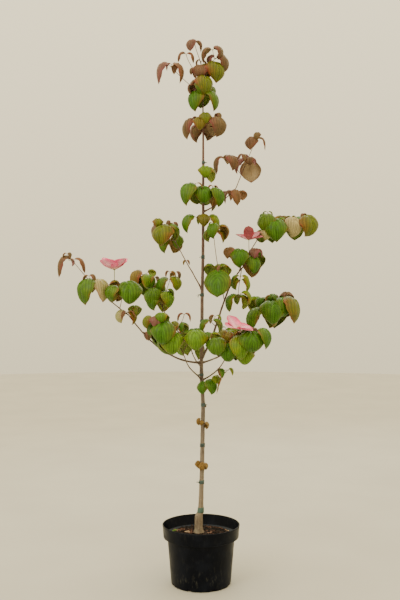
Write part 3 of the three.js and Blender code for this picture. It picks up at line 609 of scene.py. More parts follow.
def make_piece(name, points, loops, counts, materials, nodes, which=None, values=None,
               maps=None, sharp=None):
    """A mesh object from points in millimetres, joined by face corners and corners per face."""
    loops = np.asarray(loops, np.int32)
    counts = np.asarray(counts, np.int32)
    mesh = bpy.data.meshes.new(name)
    mesh.vertices.add(len(points))
    mesh.vertices.foreach_set("co", (np.asarray(points, float) * MM).astype(np.float32).ravel())
    mesh.loops.add(len(loops))
    mesh.loops.foreach_set("vertex_index", loops)
    mesh.polygons.add(len(counts))
    starts = np.concatenate([[0], np.cumsum(counts)[:-1]]).astype(np.int32)
    mesh.polygons.foreach_set("loop_start", starts)
    mesh.update(calc_edges=True)
    for title, value in (values or {}).items():
        layer = mesh.attributes.new(title, "FLOAT", "POINT")
        layer.data.foreach_set("value", np.asarray(value, np.float32))
    for title, value in (maps or {}).items():
        layer = mesh.uv_layers.new(name=title)
        layer.data.foreach_set("uv", np.asarray(value, np.float32).ravel())
    for material in materials:
        mesh.materials.append(material)
    if which is not None:
        mesh.polygons.foreach_set("material_index", np.asarray(which, np.int32))
    mesh.polygons.foreach_set("use_smooth", np.full(len(counts), True))
    mesh.validate()
    if sharp:
        mesh.set_sharp_from_angle(angle=math.radians(sharp))
    hand_over(placed(name, mesh), nodes)


class Heap:
    """Points and faces of many small shapes that are joined into one piece."""

    def __init__(self):
        self.points, self.faces, self.tones = [], [], []

    def add(self, points, faces, tone=0.0):
        first = len(self.points)
        self.points.extend(points)
        self.tones.extend([tone] * len(points))
        self.faces.extend([first + i for i in face] for face in faces)

    def make(self, name, material, slot, nodes, sharp):
        make_piece(name, self.points, [i for face in self.faces for i in face],
                   [len(face) for face in self.faces], [material], nodes,
                   values={"tone": self.tones}, sharp=sharp)


def circle(sides):
    """Points of a circle of radius 1 round the upright axis."""
    angles = np.arange(sides) / sides * 2 * math.pi
    return np.stack([np.cos(angles), np.sin(angles), 0 * angles], 1)


def heading_of(degrees):
    """Level direction of a heading."""
    return np.array([math.cos(math.radians(degrees)), math.sin(math.radians(degrees)), 0])


def between_rings(rings, sides):
    """Faces between rings of points that follow each other."""
    return [(i * sides + j, i * sides + (j + 1) % sides,
             (i + 1) * sides + (j + 1) % sides, (i + 1) * sides + j)
            for i in range(rings - 1) for j in range(sides)]


def turned_over(faces):
    """The same faces seen from their other side."""
    return [(face[0], *face[:0:-1]) for face in faces]


def closed_rings(points, sides, low, high):
    """Rings of points, closed at each end by triangles round a middle point."""
    rings = len(points) // sides
    top, end = (rings - 1) * sides, rings * sides
    faces = between_rings(rings, sides)
    for j in range(sides):
        k = (j + 1) % sides
        faces += [(end, k, j), (end + 1, top + j, top + k)]
    return [*points, low, high], faces


def tube(points, radii, sides, shape=None):
    """Rings along a line of points, closed at both ends; shape(i, angles) scales their radii."""
    points = np.asarray(points, float)
    ways = np.gradient(points, axis=0)
    ways /= np.linalg.norm(ways, axis=1)[:, None]
    angles = np.arange(sides) / sides * 2 * math.pi
    side = BACK if abs(RIGHT @ ways[0]) > 0.9 else RIGHT
    out = []
    for i, (point, way) in enumerate(zip(points, ways)):
        side = unit(side - way * (side @ way))
        other = np.cross(way, side)
        ring = radii[i] * (shape(i, angles) if shape else np.ones(sides))
        out.extend(point + np.outer(np.cos(angles) * ring, side)
                   + np.outer(np.sin(angles) * ring, other))
    return closed_rings(out, sides, points[0], points[-1])


def ball(centre, size, way, rings=5, sides=7, shape=None):
    """Rounded body of revolution along a direction: size is (length, radius)."""
    way = unit(np.asarray(way, float))
    t = np.linspace(0, 1, rings + 2)
    points = np.asarray(centre) + np.outer((t - 0.5) * size[0], way)
    profile = np.sqrt(np.maximum(1e-4, 1 - (2 * t - 1) ** 2)) if shape is None else shape(t)
    return tube(points, size[1] * profile, sides)


def ripple(points, size, seed, waves=9):
    """Smooth repeatable bumps from -1 to 1 with features of about a size in millimetres."""
    source = np.random.default_rng(seed)
    ways = source.normal(size=(waves, 3))
    lengths = np.linalg.norm(ways, axis=1)
    ways *= (2 * math.pi / size / lengths * source.uniform(0.6, 1.5, waves))[:, None]
    phases = source.uniform(0, 2 * math.pi, waves)
    return np.sin(np.asarray(points, float) @ ways.T + phases).sum(1) / math.sqrt(waves) / 1.4


# Materials

# Settings that many nodes share.
SMOOTH = {"interpolation_type": "SMOOTHSTEP"}
COLOURS = {"data_type": "RGBA"}
TIMES = {"operation": "MULTIPLY"}
TIMES_PLUS = {"operation": "MULTIPLY_ADD"}
LARGER = {"operation": "MAXIMUM"}
POSITIVE = {"operation": "ABSOLUTE"}
SCALED = {"operation": "SCALE"}


def linear(code):
    """A colour written as in a web page, as linear light."""
    parts = [int(code[i:i + 2], 16) / 255 for i in (1, 3, 5)]
    return (*[p / 12.92 if p <= 0.04045 else ((p + 0.055) / 1.055) ** 2.4 for p in parts], 1)


def node(tree, kind, sockets=(), take=0, stops=(), **settings):
    """Adds a node with its settings, fills or links its sockets, and gives the output to take.

    Sockets go by name or number, and stops are the places and colours of a colour ramp.
    """
    made = tree.nodes.new(kind if "Node" in kind else "ShaderNode" + kind)
    for key, value in settings.items():
        setattr(made, key, value)
    for key, value in dict(sockets).items():
        if isinstance(value, bpy.types.NodeSocket):
            tree.links.new(value, made.inputs[key])
        else:
            made.inputs[key].default_value = linear(value) if isinstance(value, str) else value
    if stops:
        bar = made.color_ramp.elements
        while len(bar) < len(stops):
            bar.new(0.5)
        for point, (place, code) in zip(bar, stops):
            point.position = place
            point.color = linear(code)
    return made if take is None else made.outputs[take]


class Finish:
    """A material under way, drawn in the object's own space, in metres."""

    def __init__(self, name):
        self.material = bpy.data.materials.new(name)
        self.material.use_nodes = True
        self.material.node_tree.nodes.clear()
        self.place = self.add("TexCoord", take="Object")

    def add(self, kind, sockets=(), take=0, **settings):
        return node(self.material.node_tree, kind, sockets, take, **settings)

    def sized(self, size, detail=None, rough=None, stretch=None):
        """Sockets of a pattern with features of a size in millimetres."""
        at = self.add("Mapping", {0: self.place, 3: stretch}) if stretch else self.place
        finer = {"Detail": detail, "Roughness": rough} if detail else {}
        return {"Vector": at, "Scale": 1000 / size, **finer}

    def lit(self, colour, share):
        """A colour made lighter or darker by a value round one half."""
        factor = self.add("MapRange", {0: share, 1: 0.2, 2: 0.8, 3: 0.72, 4: 1.28}, **SMOOTH)
        return self.add("VectorMath", {0: colour, 3: factor}, **SCALED)

    def done(self, sockets):
        shader = self.add("BsdfPrincipled", sockets)
        self.add("OutputMaterial", {0: shader}, None)
        return self.material


def pot_plastic():
    """Moulded black polypropylene: satin, dusty and scuffed towards its foot."""
    f = Finish("pot_plastic")
    height = f.add("SeparateXYZ", {0: f.place}, 2)
    low = f.add("MapRange", {0: height, 1: 0.0, 2: 0.11, 3: 1.0, 4: 0.0}, **SMOOTH)
    scuff = f.add("TexNoise", f.sized(9, 6, 0.7, (1, 1, 0.35)))
    scuff = f.add("MapRange", {0: scuff, 1: 0.52, 2: 0.68}, **SMOOTH)
    dust = f.add("TexNoise", f.sized(60, 4, 0.55))
    dust = f.add("MapRange", {0: dust, 1: 0.42, 2: 0.66}, **SMOOTH)
    worn = f.add("Math", {0: scuff, 1: f.add("Math", {0: low, 1: 0.5, 2: 0.12}, **TIMES_PLUS)},
                 **TIMES)
    base = f.add("Mix", {0: f.add("Math", {0: dust, 1: 0.4}, **TIMES), 6: "#070a13",
                         7: "#161a25"}, 2, **COLOURS)
    base = f.add("Mix", {0: worn, 6: base, 7: "#44443f"}, 2, **COLOURS)
    # The ledge inside the collar lies open to the sky, so it is painted paler: painted light from
    # the sky.
    from_axis = f.add("VectorMath", {0: f.add("VectorMath", {0: f.place, 1: (1, 1, 0)}, **TIMES)},
                      "Value", operation="LENGTH")
    ledge = f.add("MapRange", {0: from_axis, 1: 0.1372, 2: 0.1382, 3: 0.8, 4: 0.0}, **SMOOTH)
    for start, end, at_start, at_end in ((0.179, 0.184, 1.0, 0.0), (0.1735, 0.1745, 0.0, 1.0)):
        level = f.add("MapRange", {0: height, 1: start, 2: end, 3: at_start, 4: at_end},
                      **SMOOTH)
        ledge = f.add("Math", {0: ledge, 1: level}, **TIMES)
    base = f.add("Mix", {0: ledge, 6: base, 7: "#3a404a"}, 2, **COLOURS)
    rough = f.add("Math", {0: worn, 1: 0.3, 2: 0.3}, **TIMES_PLUS)
    rough = f.add("Math", {0: dust, 1: 0.16, 2: rough}, **TIMES_PLUS)
    normal = None
    for size, depth in ((30, 0.7), (1.1, 0.12)):
        noise = f.add("TexNoise", f.sized(size, 2, 0.55))
        before = {"Normal": normal} if normal else {}
        normal = f.add("Bump", {"Height": noise, "Distance": depth * MM, "Strength": 0.3, **before})
    return f.done({"Base Color": base, "Roughness": rough, "Normal": normal,
                   "Specular IOR Level": 0.07})


def compost_soil():
    """Damp composted bark: dark matt crumbs with browner bits."""
    f = Finish("compost_soil")
    crumbs = f.add("TexNoise", f.sized(14, 6, 0.7))
    base = f.add("ValToRGB", {0: crumbs}, stops=[
        (0.3, "#0f0a07"), (0.5, "#22150f"), (0.62, "#38251b"), (0.72, "#553b2c")])
    lumps = f.add("TexNoise", f.sized(5, 6, 0.8))
    normal = f.add("Bump", {"Height": lumps, "Distance": 2.2 * MM, "Strength": 0.9})
    return f.done({"Base Color": base, "Roughness": 0.95, "Normal": normal,
                   "Specular IOR Level": 0.2})


def bark_chip():
    """Chips of bark and wood, each its own brown, with a few pale split ones."""
    f = Finish("bark_chip")
    pick = f.add("TexVoronoi", f.sized(17), "Color")
    base = f.add("ValToRGB", {0: f.add("SeparateXYZ", {0: pick})}, stops=[
        (0.0, "#0b0705"), (0.5, "#1b110c"), (0.76, "#2a1a12"), (0.9, "#472f24"),
        (0.965, "#73574a"), (0.99, "#a8917a")])
    fibre = f.add("TexNoise", f.sized(4, 4, 0.7, (1, 1, 3)))
    bits = f.add("TexNoise", f.sized(2.5, 4, 0.55))
    normal = f.add("Bump", {"Height": bits, "Distance": 0.8 * MM, "Strength": 0.7})
    return f.done({"Base Color": f.lit(base, fibre), "Roughness": 0.9, "Normal": normal,
                   "Specular IOR Level": 0.2})


def moss_green():
    """A cushion of moss: bright leaflets over dark hollows of painted shade, quite matt."""
    f = Finish("moss_green")
    tufts = f.add("TexNoise", f.sized(3, 4, 0.7))
    # The darkest green is painted shade in the hollows.
    base = f.add("ValToRGB", {0: tufts}, stops=[(0.3, "#24360e"), (0.5, "#4f7320"),
                                                (0.7, "#8aa844")])
    leaflets = f.add("TexVoronoi", f.sized(1.6), "Distance")
    normal = f.add("Bump", {"Height": leaflets, "Distance": 0.8 * MM, "Strength": 0.8})
    return f.done({"Base Color": base, "Roughness": 0.95, "Normal": normal})


def bark(name, stops, low, high, lichen):
    """Smooth thin bark: colour runs up its height, with fine cracks and pale corky spots."""
    f = Finish(name)
    height = f.add("SeparateXYZ", {0: f.place}, 2)
    base = f.add("ValToRGB", {0: f.add("MapRange", {0: height, 1: low, 2: high}, **SMOOTH)},
                 stops=stops)
    shade = f.add("TexNoise", f.sized(26, 5, 0.65, (1, 1, 0.3)))
    streak = f.add("TexNoise", f.sized(5, 5, 0.7, (1, 1, 0.12)))
    crack = f.add("TexNoise", f.sized(4, 5, 0.7, (1, 1, 0.15)))
    base = f.lit(base, shade)
    streak = f.add("MapRange", {0: streak, 1: 0.5, 2: 0.66}, **SMOOTH)
    patch = f.add("TexNoise", f.sized(34, 4, 0.6))
    patch = f.add("MapRange", {0: patch, 1: 0.54, 2: 0.7}, **SMOOTH)
    spots = f.add("TexVoronoi", f.sized(6.5, stretch=(1, 1, 0.55)), "Distance")
    spots = f.add("MapRange", {0: spots, 1: 0.1, 2: 0.22, 3: 1.0, 4: 0.0}, **SMOOTH)
    for share, most, code in ((streak, 0.55, "#2e231d"), (patch, 0.5, lichen),
                              (spots, 0.55, "#b9a790")):
        base = f.add("Mix", {0: f.add("Math", {0: share, 1: most}, **TIMES), 6: base, 7: code},
                     2, **COLOURS)
    rough = f.add("Math", {0: streak, 1: 0.15, 2: 0.62}, **TIMES_PLUS)
    normal = f.add("Bump", {"Height": spots, "Distance": 0.4 * MM, "Strength": 0.6})
    normal = f.add("Bump", {"Height": crack, "Distance": 0.7 * MM, "Strength": 0.7,
                            "Normal": normal})
    return f.done({"Base Color": base, "Roughness": rough, "Normal": normal})


def tape(name, dark, pale):
    """Soft stretch tape: thin, satin, and creased where it is pulled round the stem."""
    f = Finish(name)
    crease = f.add("TexNoise", f.sized(7, 3, 0.6, (0.4, 0.4, 2.6)))
    # The creases are painted paler on their ridges and darker in their hollows: painted light and
    # shade.
    base = f.add("ValToRGB", {0: crease}, stops=[(0.32, dark), (0.66, pale)])
    rough = f.add("MapRange", {0: crease, 1: 0.3, 2: 0.7, 3: 0.38, 4: 0.62}, **SMOOTH)
    normal = f.add("Bump", {"Height": crease, "Distance": 0.5 * MM, "Strength": 0.6})
    return f.done({"Base Color": base, "Roughness": rough, "Normal": normal})


def blade_map(f):
    """A blade's own map: distance from the midrib, 0 to 1, and place from base to tip."""
    split = f.add("SeparateXYZ", {0: f.add("UVMap", uv_map="blade")}, None).outputs
    out = f.add("Math", {0: split[0], 1: 2.0, 2: -1.0}, **TIMES_PLUS)
    return f.add("Math", {0: out}, **POSITIVE), split[1]


def leaf_face(name, blade, vein, edge, upper=True):
    """One face of a leaf, waxy above and matt below, with sunk veins and a reddish margin."""
    f = Finish(name)
    out, along = blade_map(f)
    rib, tone = (f.add("Attribute", take="Fac", attribute_name=title) for title in ("rib", "tone"))
    blotch = f.add("TexNoise", f.sized(24, 4, 0.6))
    patch = f.add("TexNoise", f.sized(48, 3, 0.55))
    flush = f.add("Math", {
        0: f.add("MapRange", {0: out, 1: 0.15, 2: 1.0, 3: 0.1, 4: 1.0}, **SMOOTH),
        1: f.add("MapRange", {0: patch, 1: 0.35, 2: 0.65, 3: 0.25, 4: 1.0}, **SMOOTH)}, **TIMES)
    flush = f.add("Math", {0: flush, 1: f.add("MapRange", {0: tone, 4: 0.85}, **SMOOTH)}, **LARGER)
    base = f.lit(f.add("Mix", {0: flush, 6: blade, 7: edge[1]}, 2, **COLOURS), blotch)
    # Upper face: crests painted lighter and sunk veins darker, painted light and shade of the ribs.
    low, high, rib_low, rib_high = (0.0, 0.85, 0.68, 0.28) if upper else (0.0, 1.0, 0.4, 0.6)
    base = f.lit(base, f.add("MapRange", {0: rib, 1: low, 2: high, 3: rib_low, 4: rib_high},
                             **SMOOTH))
    start, most = (0.93, 0.35) if upper else (0.7, 0.8)
    line = f.add("MapRange", {0: rib, 1: start, 2: 1.0, 4: most}, **SMOOTH)
    base = f.add("Mix", {0: line, 6: base, 7: vein}, 2, **COLOURS)
    rim = f.add("Math", {0: f.add("MapRange", {0: out, 1: 0.78, 2: 1.0}, **SMOOTH),
                         1: f.add("MapRange", {0: along, 1: 0.86, 2: 1.0}, **SMOOTH)}, **LARGER)
    rim = f.add("Math", {0: rim, 1: f.add("MapRange", {0: patch, 1: 0.4, 2: 0.6, 3: 0.2, 4: 0.85},
                                          **SMOOTH)}, **TIMES)
    base = f.add("Mix", {0: rim, 6: base, 7: edge[0]}, 2, **COLOURS)
    net = f.add("TexVoronoi", f.sized(1.9), "Distance", feature="DISTANCE_TO_EDGE")
    swell = f.add("TexNoise", f.sized(9, 3, 0.55))
    normal = f.add("Bump", {"Height": swell, "Distance": 0.8 * MM, "Strength": 0.3})
    normal = f.add("Bump", {"Height": f.add("MapRange", {0: net, 2: 0.16}, **SMOOTH),
                            "Distance": 0.12 * MM, "Strength": 0.3, "Normal": normal})
    glossy, dull = (0.36, 0.5) if upper else (0.6, 0.75)
    rough = f.add("MapRange", {0: blotch, 1: 0.3, 2: 0.7, 3: glossy, 4: dull}, **SMOOTH)
    return f.done({"Base Color": base, "Roughness": rough, "Normal": normal,
                   "Specular IOR Level": 0.25})


def bract_face():
    """A petal-like bract: rose at its margin and veins, paler towards its middle and tip."""
    f = Finish("bract_pink")
    side, along = blade_map(f)
    base = f.add("ValToRGB", {0: side}, stops=[
        (0.0, "#ffc2dc"), (0.45, "#ff94bf"), (0.8, "#f9669c"), (1.0, "#e04080")])
    drawn = f.add("Mapping", {0: f.add("UVMap", uv_map="blade"), 3: (1, 0.12, 1)})
    lines = f.add("TexWave", {"Vector": drawn, "Scale": 5.5, "Distortion": 1.6, "Detail": 2.0},
                  bands_direction="X")
    # The tone dulls a bract to brownish rose: the withered bract for its withering, the second
    # flower's bracts as painted shade.
    tone = f.add("Attribute", take="Fac", attribute_name="tone")
    for value, start, end, at_start, at_end, code in (
            (lines, 0.55, 0.95, 0.0, 0.55, "#d65f80"), (along, 0.0, 0.3, 0.65, 0.0, "#f7e6cf"),
            (tone, 0.2, 1.0, 0.0, 0.9, "#984a4c")):
        share = f.add("MapRange", {0: value, 1: start, 2: end, 3: at_start, 4: at_end}, **SMOOTH)
        base = f.add("Mix", {0: share, 6: base, 7: code}, 2, **COLOURS)
    clouds = f.add("TexNoise", f.sized(16, 3, 0.55))
    normal = f.add("Bump", {"Height": lines, "Distance": 0.35 * MM, "Strength": 0.4})
    return f.done({"Base Color": f.lit(base, clouds), "Roughness": 0.55, "Normal": normal,
                   "Specular IOR Level": 0.3, "Sheen Weight": 0.1})


def eye_green():
    """The knobbly green and yellow middle of a flower."""
    f = Finish("flower_eye")
    knobs = f.add("TexVoronoi", f.sized(2.4), "Distance")
    base = f.add("ValToRGB", {0: knobs}, stops=[(0.1, "#d9cf6a"), (0.35, "#93a93c"),
                                                (0.6, "#5d7a25")])
    normal = f.add("Bump", {"Height": knobs, "Distance": 0.5 * MM, "Strength": 0.6})
    return f.done({"Base Color": base, "Roughness": 0.7, "Normal": normal})


def stalk_skin():
    """Leaf stalks: green flushed with red, satin under a fine down."""
    f = Finish("stalk_skin")
    flush = f.add("TexNoise", f.sized(18, 3, 0.55))
    fuzz = f.add("TexNoise", f.sized(2, 2, 0.55))
    base = f.add("ValToRGB", {0: flush}, stops=[(0.36, "#7c3f33"), (0.5, "#7c6a30"),
                                                (0.66, "#6f812e")])
    normal = f.add("Bump", {"Height": fuzz, "Distance": 0.2 * MM, "Strength": 0.4})
    return f.done({"Base Color": base, "Roughness": 0.55, "Normal": normal})


def twig_skin():
    """Shoots of this and last year: green turning reddish brown, with pale specks."""
    f = Finish("twig_skin")
    base = f.add("ValToRGB", {0: f.add("Attribute", take="Fac", attribute_name="tone")}, stops=[
        (0.0, "#533a2f"), (0.45, "#643a2e"), (0.8, "#6c5a2f"), (1.0, "#6c7a30")])
    shade = f.add("TexNoise", f.sized(12, 4, 0.6, (1, 1, 0.5)))
    spots = f.add("TexVoronoi", f.sized(4), "Distance")
    spots = f.add("MapRange", {0: spots, 1: 0.1, 2: 0.2, 3: 0.45, 4: 0.0}, **SMOOTH)
    base = f.add("Mix", {0: spots, 6: f.lit(base, shade), 7: "#c0ab8d"}, 2, **COLOURS)
    grit = f.add("TexNoise", f.sized(3, 4, 0.55))
    normal = f.add("Bump", {"Height": grit, "Distance": 0.3 * MM, "Strength": 0.6})
    return f.done({"Base Color": base, "Roughness": 0.6, "Normal": normal})


# Pot, compost and what lies on it

POT_SIDES = 120
POT_SHARP = 38
# Drain notches at the pot's foot: how many, their size, their distance from the axis, and the
# share of their width that is left at their top.
NOTCHES = {"count": 8, "size": (18, 18, 14), "radius": 112, "narrowed": 0.72}
# The pot's wall from the axis out, up and back in, as radii and heights.
POT_PROFILE = [
    (0, 0), (106, 0), (109.6, 0.6), (111.6, 2.4), (112.2, 5), (125.8, 168), (126.6, 171.4),
    (128.4, 172.9), (139.2, 173), (140.8, 173.7), (141.4, 175.6), (143.9, 212.4), (144.7, 214),
    (145, 215.6), (145, 218.6), (144.4, 219.6), (143.2, 220), (142.2, 219.6), (141.5, 218),
    (138.7, 181), (137.6, 179.4), (127, 176), (124.4, 174.6), (123.4, 171), (110.4, 6),
    (108.6, 3.6), (106, 3), (0, 3),
]
# The compost's top from its middle to its edge, as radii and heights, and its edge below that.
COMPOST_TOP = np.array([(0, 188), (26, 188), (60, 186), (95, 183), (123, 176)], float)
COMPOST_SIDE = [(123.0, 169), (109.2, 3.4)]
COMPOST_SIDES = 84
COMPOST_MIDDLE = 187.6
# Its crumbs: how high and how wide the coarse and the fine ones are, below the top.
CRUMBS = {"below": 0.6, "coarse": (1.6, 34), "fine": (0.9, 9)}


def compost_height(radius):
    return np.interp(radius, COMPOST_TOP[:, 0], COMPOST_TOP[:, 1])


def made_by(source, name, modifiers):
    """A new mesh object from a mesh with modifiers worked out and removed."""
    helper = placed(name + ".source", source)
    modifiers(helper)
    bpy.context.view_layer.update()
    graph = bpy.context.evaluated_depsgraph_get()
    mesh = bpy.data.meshes.new_from_object(helper.evaluated_get(graph), depsgraph=graph)
    bpy.data.objects.remove(helper)
    mesh.materials.clear()
    return placed(name, mesh)


def notch_blocks():
    """Blocks that cut the drain notches into the pot's foot."""
    blocks = bmesh.new()
    for i in range(NOTCHES["count"]):
        angle = (i + 0.5) * 2 * math.pi / NOTCHES["count"]
        for vert in bmesh.ops.create_cube(blocks, size=1)["verts"]:
            x, y, z = (a * b for a, b in zip(vert.co, NOTCHES["size"]))
            y *= NOTCHES["narrowed"] if z > 0 else 1
            x += NOTCHES["radius"]
            vert.co = (MM * (x * math.cos(angle) - y * math.sin(angle)),
                       MM * (x * math.sin(angle) + y * math.cos(angle)), MM * z)
    mesh = bpy.data.meshes.new("notches")
    blocks.to_mesh(mesh)
    blocks.free()
    return placed("notches", mesh)


def nursery_pot():
    tool = notch_blocks()

    def cut(helper):
        made = helper.modifiers.new("cut", "BOOLEAN")
        made.operation = "DIFFERENCE"
        made.object = tool
        made.solver = "EXACT"

    rings = np.concatenate([circle(POT_SIDES) * [radius, radius, 1] + UP * height
                            for radius, height in POT_PROFILE[1:-1]])
    points, faces = closed_rings(rings, POT_SIDES, UP * POT_PROFILE[0][1], UP * POT_PROFILE[-1][1])
    turned = bpy.data.meshes.new("pot")
    turned.from_pydata((np.array(points) * MM).tolist(), [], faces)
    pot = made_by(turned, "nursery_pot", cut)
    bpy.data.objects.remove(tool)
    pot.data.materials.append(pot_plastic())
    pot.data.polygons.foreach_set("use_smooth", np.full(len(pot.data.polygons), True))
    pot.data.set_sharp_from_angle(angle=math.radians(POT_SHARP))
    hand_over(pot, ["pot"])


def compost_mound():
    """Compost that is crumbly on top and calm where it meets the pot and the stem."""
    edge = COMPOST_TOP[-1, 0]
    points = []
    for radius in [*np.linspace(0, edge - 1, 30)[1:], edge]:
        ring = circle(COMPOST_SIDES) * [radius, radius, 1]
        calm = min(1, (edge - radius) / 12) * min(1, radius / 24)
        crumbs = sum(height * ripple(ring, width, seed) for seed, (height, width) in (
            (5, CRUMBS["coarse"]), (6, CRUMBS["fine"])))
        ring[:, 2] = compost_height(radius) - CRUMBS["below"] + calm * crumbs
        points.extend(ring)
    for radius, height in COMPOST_SIDE:
        points.extend(circle(COMPOST_SIDES) * [radius, radius, 1] + UP * height)
    points, faces = closed_rings(points, COMPOST_SIDES, (0, 0, COMPOST_MIDDLE),
                                 (0, 0, COMPOST_SIDE[-1][1]))
    faces = turned_over(faces)
    make_piece("compost_mound", points, [i for face in faces for i in face],
               [len(face) for face in faces], [compost_soil()], ["compost"])


def scatter_tree(name, size, material, tilt):
    """Geometry nodes: chips strewn on a surface, turned at random, each bent a little."""
    tree = bpy.data.node_groups.new(name, "GeometryNodeTree")
    face = tree.interface
    face.new_socket("Geometry", in_out="INPUT", socket_type="NodeSocketGeometry")
    sockets = {}
    for title, kind, value in (("Per square metre", "NodeSocketFloat", 9000.0),
                               ("Seed", "NodeSocketInt", 3),
                               ("Smallest", "NodeSocketVector", (0.45, 0.45, 0.5)),
                               ("Largest", "NodeSocketVector", (1.7, 1.35, 1.5)),
                               ("Ruggedness", "NodeSocketFloat", 0.0022)):
        made = face.new_socket(title, in_out="INPUT", socket_type=kind)
        made.default_value = value
        sockets[title] = made.identifier
    face.new_socket("Geometry", in_out="OUTPUT", socket_type="NodeSocketGeometry")
    given = node(tree, "NodeGroupInput", take=None).outputs
    spots = node(tree, "GeometryNodeDistributePointsOnFaces", {
        "Mesh": given["Geometry"], "Density": given["Per square metre"],
        "Seed": given["Seed"]}, "Points")
    chip = node(tree, "GeometryNodeMeshCube", {"Size": size, 1: 3, 2: 2, 3: 2}, "Mesh")
    turn, scale = (node(tree, "FunctionNodeRandomValue", {
        0: low, 1: high, "Seed": given["Seed"]}, data_type="FLOAT_VECTOR")
        for low, high in (((-tilt, -tilt, 0.0), (tilt, tilt, 6.283)),
                          (given["Smallest"], given["Largest"])))
    strewn = node(tree, "GeometryNodeInstanceOnPoints", {
        "Points": spots, "Instance": chip, "Rotation": turn, "Scale": scale})
    real = node(tree, "GeometryNodeRealizeInstances", {0: strewn})
    noise = node(tree, "TexNoise", {"Scale": 160.0, "Detail": 1.0}, 1)
    centred = node(tree, "VectorMath", {0: noise, 1: (0.5, 0.5, 0.5)}, operation="SUBTRACT")
    offset = node(tree, "VectorMath", {0: centred, 3: given["Ruggedness"]}, **SCALED)
    moved = node(tree, "GeometryNodeSetPosition", {"Geometry": real, "Offset": offset})
    dressed = node(tree, "GeometryNodeSetMaterial", {"Geometry": moved, "Material": material})
    node(tree, "NodeGroupOutput", {0: dressed}, None)
    return tree, sockets


def bed(inner, outer, lift, x=0, y=0):
    """Ring of the compost's surface that chips are strewn on, in metres."""
    rings, sides = 8, 40
    points = []
    for radius in np.linspace(inner, outer, rings):
        for spot in circle(sides) * radius + [x, y, 0]:
            height = compost_height(math.hypot(spot[0], spot[1])) + lift
            points.append((spot[0] * MM, spot[1] * MM, float(height) * MM))
    mesh = bpy.data.meshes.new("bed")
    mesh.from_pydata(points, [], turned_over(between_rings(rings, sides)))
    return mesh


def strew(name, surface, material, size, tilt, values):
    tree, sockets = scatter_tree(f"strewn_{name}", size, material, tilt)

    def grow_over(helper):
        made = helper.modifiers.new("strewn", "NODES")
        made.node_group = tree
        for title, value in values.items():
            made[sockets[title]] = value

    piece = made_by(surface, name, grow_over)
    piece.data.materials.append(material)
    hand_over(piece, ["compost"])


nursery_pot()
compost_mound()
strew("compost_chips", bed(30, 116, 0.6), bark_chip(), (0.013, 0.0065, 0.0028), 0.45,
      {"Per square metre": 15000.0, "Seed": 3})
strew("moss_patch", bed(0.5, 11, 1.2, -97, 48), moss_green(), (0.0026, 0.0026, 0.0048), 0.6,
      {"Per square metre": 620000.0, "Seed": 5, "Ruggedness": 0.001})


# Trunk and boughs

TRUNK_JOINTS = np.arange(318, 1780, 118)
BOUGH_JOINTS_EVERY = 58
TRUNK_SIDES, BOUGH_SIDES = 28, 12
GRAFT_HEIGHT = 262
TRUNK_COLOURS = [(0.0, "#7b6d5c"), (0.06, "#75685a"), (0.2, "#62554a"), (0.6, "#624a3e"),
                 (1.0, "#603c33")]
BOUGH_COLOURS = [(0.0, "#574539"), (0.5, "#5c4134"), (1.0, "#603f33")]


def shaken(rows, step, rounds):
    """Rows of (height, ...) taken at even steps and smoothed."""
    rows = np.array(rows, float)
    heights = np.arange(rows[0, 0], rows[-1, 0], step)
    heights = np.append(heights, rows[-1, 0])
    out = np.stack([np.interp(heights, rows[:, 0], rows[:, i]) for i in range(rows.shape[1])], 1)
    for _ in range(rounds):
        out[1:-1, 1:] = (out[:-2, 1:] + 2 * out[1:-1, 1:] + out[2:, 1:]) / 4
    return out


def swelling(place, centres, width, height):
    """How much a limb swells at its nodes."""
    if not len(centres):
        return 0.0
    return height * np.exp(-((place - np.asarray(centres)) / width) ** 2).max()


def trunk_bark():
    """The stem, rough and fissured at its foot, with a lumpy rootstock below the graft."""
    rows = shaken(STEM, 4, 2)
    ring = circle(TRUNK_SIDES)
    points = []
    for height, lean, radius in rows:
        spot = ring * radius + [lean, 0, height]
        old = max(0.0, min(1.0, (900 - height) / 700))
        rough = (0.018 * ripple(spot, 22, 11)
                 + (0.008 + 0.02 * old) * ripple(spot * [1, 1, 0.22], 5.5, 12))
        bump = 1 + rough + swelling(height, TRUNK_JOINTS, 5, 0.07)
        flare = 1 + 0.05 * ripple(spot, 30, 13) if height < GRAFT_HEIGHT else 1
        points.extend(ring * (radius * bump * flare)[:, None] + [lean, 0, height])
    heap = Heap()
    heap.add(*closed_rings(points, TRUNK_SIDES, *([lean, 0, height]
                                                  for height, lean, _ in rows[[0, -1]])))
    heap.make("trunk_bark", bark("bark", TRUNK_COLOURS, 0.2, 1.78, "#8b8672"), "bark", ["trunk"],
              sharp=70)


def length_of(line):
    return float(np.linalg.norm(np.diff(line, axis=0), axis=1).sum())


def bough_bark():
    """Boughs that wander a little, thick where they leave the stem and at their nodes."""
    heap = Heap()
    for number, (name, bough) in enumerate(BOUGHS.items()):
        curve = limbs[name]["curve"]
        span = length_of(on_curve(curve, np.linspace(0, 1, 40)))
        shares = np.linspace(0, 1, int(span / 5))
        line = on_curve(curve, shares)
        wander = np.stack([ripple(line, 60, 20 + number + k) for k in (0, 40, 80)], 1)
        line = line + wander * (0.8 * np.sin(math.pi * shares))[:, None]
        joints = np.arange(span * 0.22, span - 12, BOUGH_JOINTS_EVERY)
        collar = 0.75 * (bough["on"] == "stem")
        radii = np.array([
            mix(bough["radius"], s) * (1 + collar * math.exp(-max(0, s * span - 8) / 8)
                                       + swelling(s * span, joints, 3, 0.22)) for s in shares])

        def shape(i, angles, line=line, number=number):
            spots = line[i] + np.stack([np.cos(angles), np.sin(angles), 0 * angles], 1) * 3
            return 1 + 0.05 * ripple(spots, 9, 31 + number)

        heap.add(*tube(line, radii, BOUGH_SIDES, shape))
    heap.make("bough_bark", bark("young_bark", BOUGH_COLOURS, 0.75, 1.5, "#8d8a78"),
              "young_bark", list(BOUGHS), sharp=70)


trunk_bark()
bough_bark()


# Ties

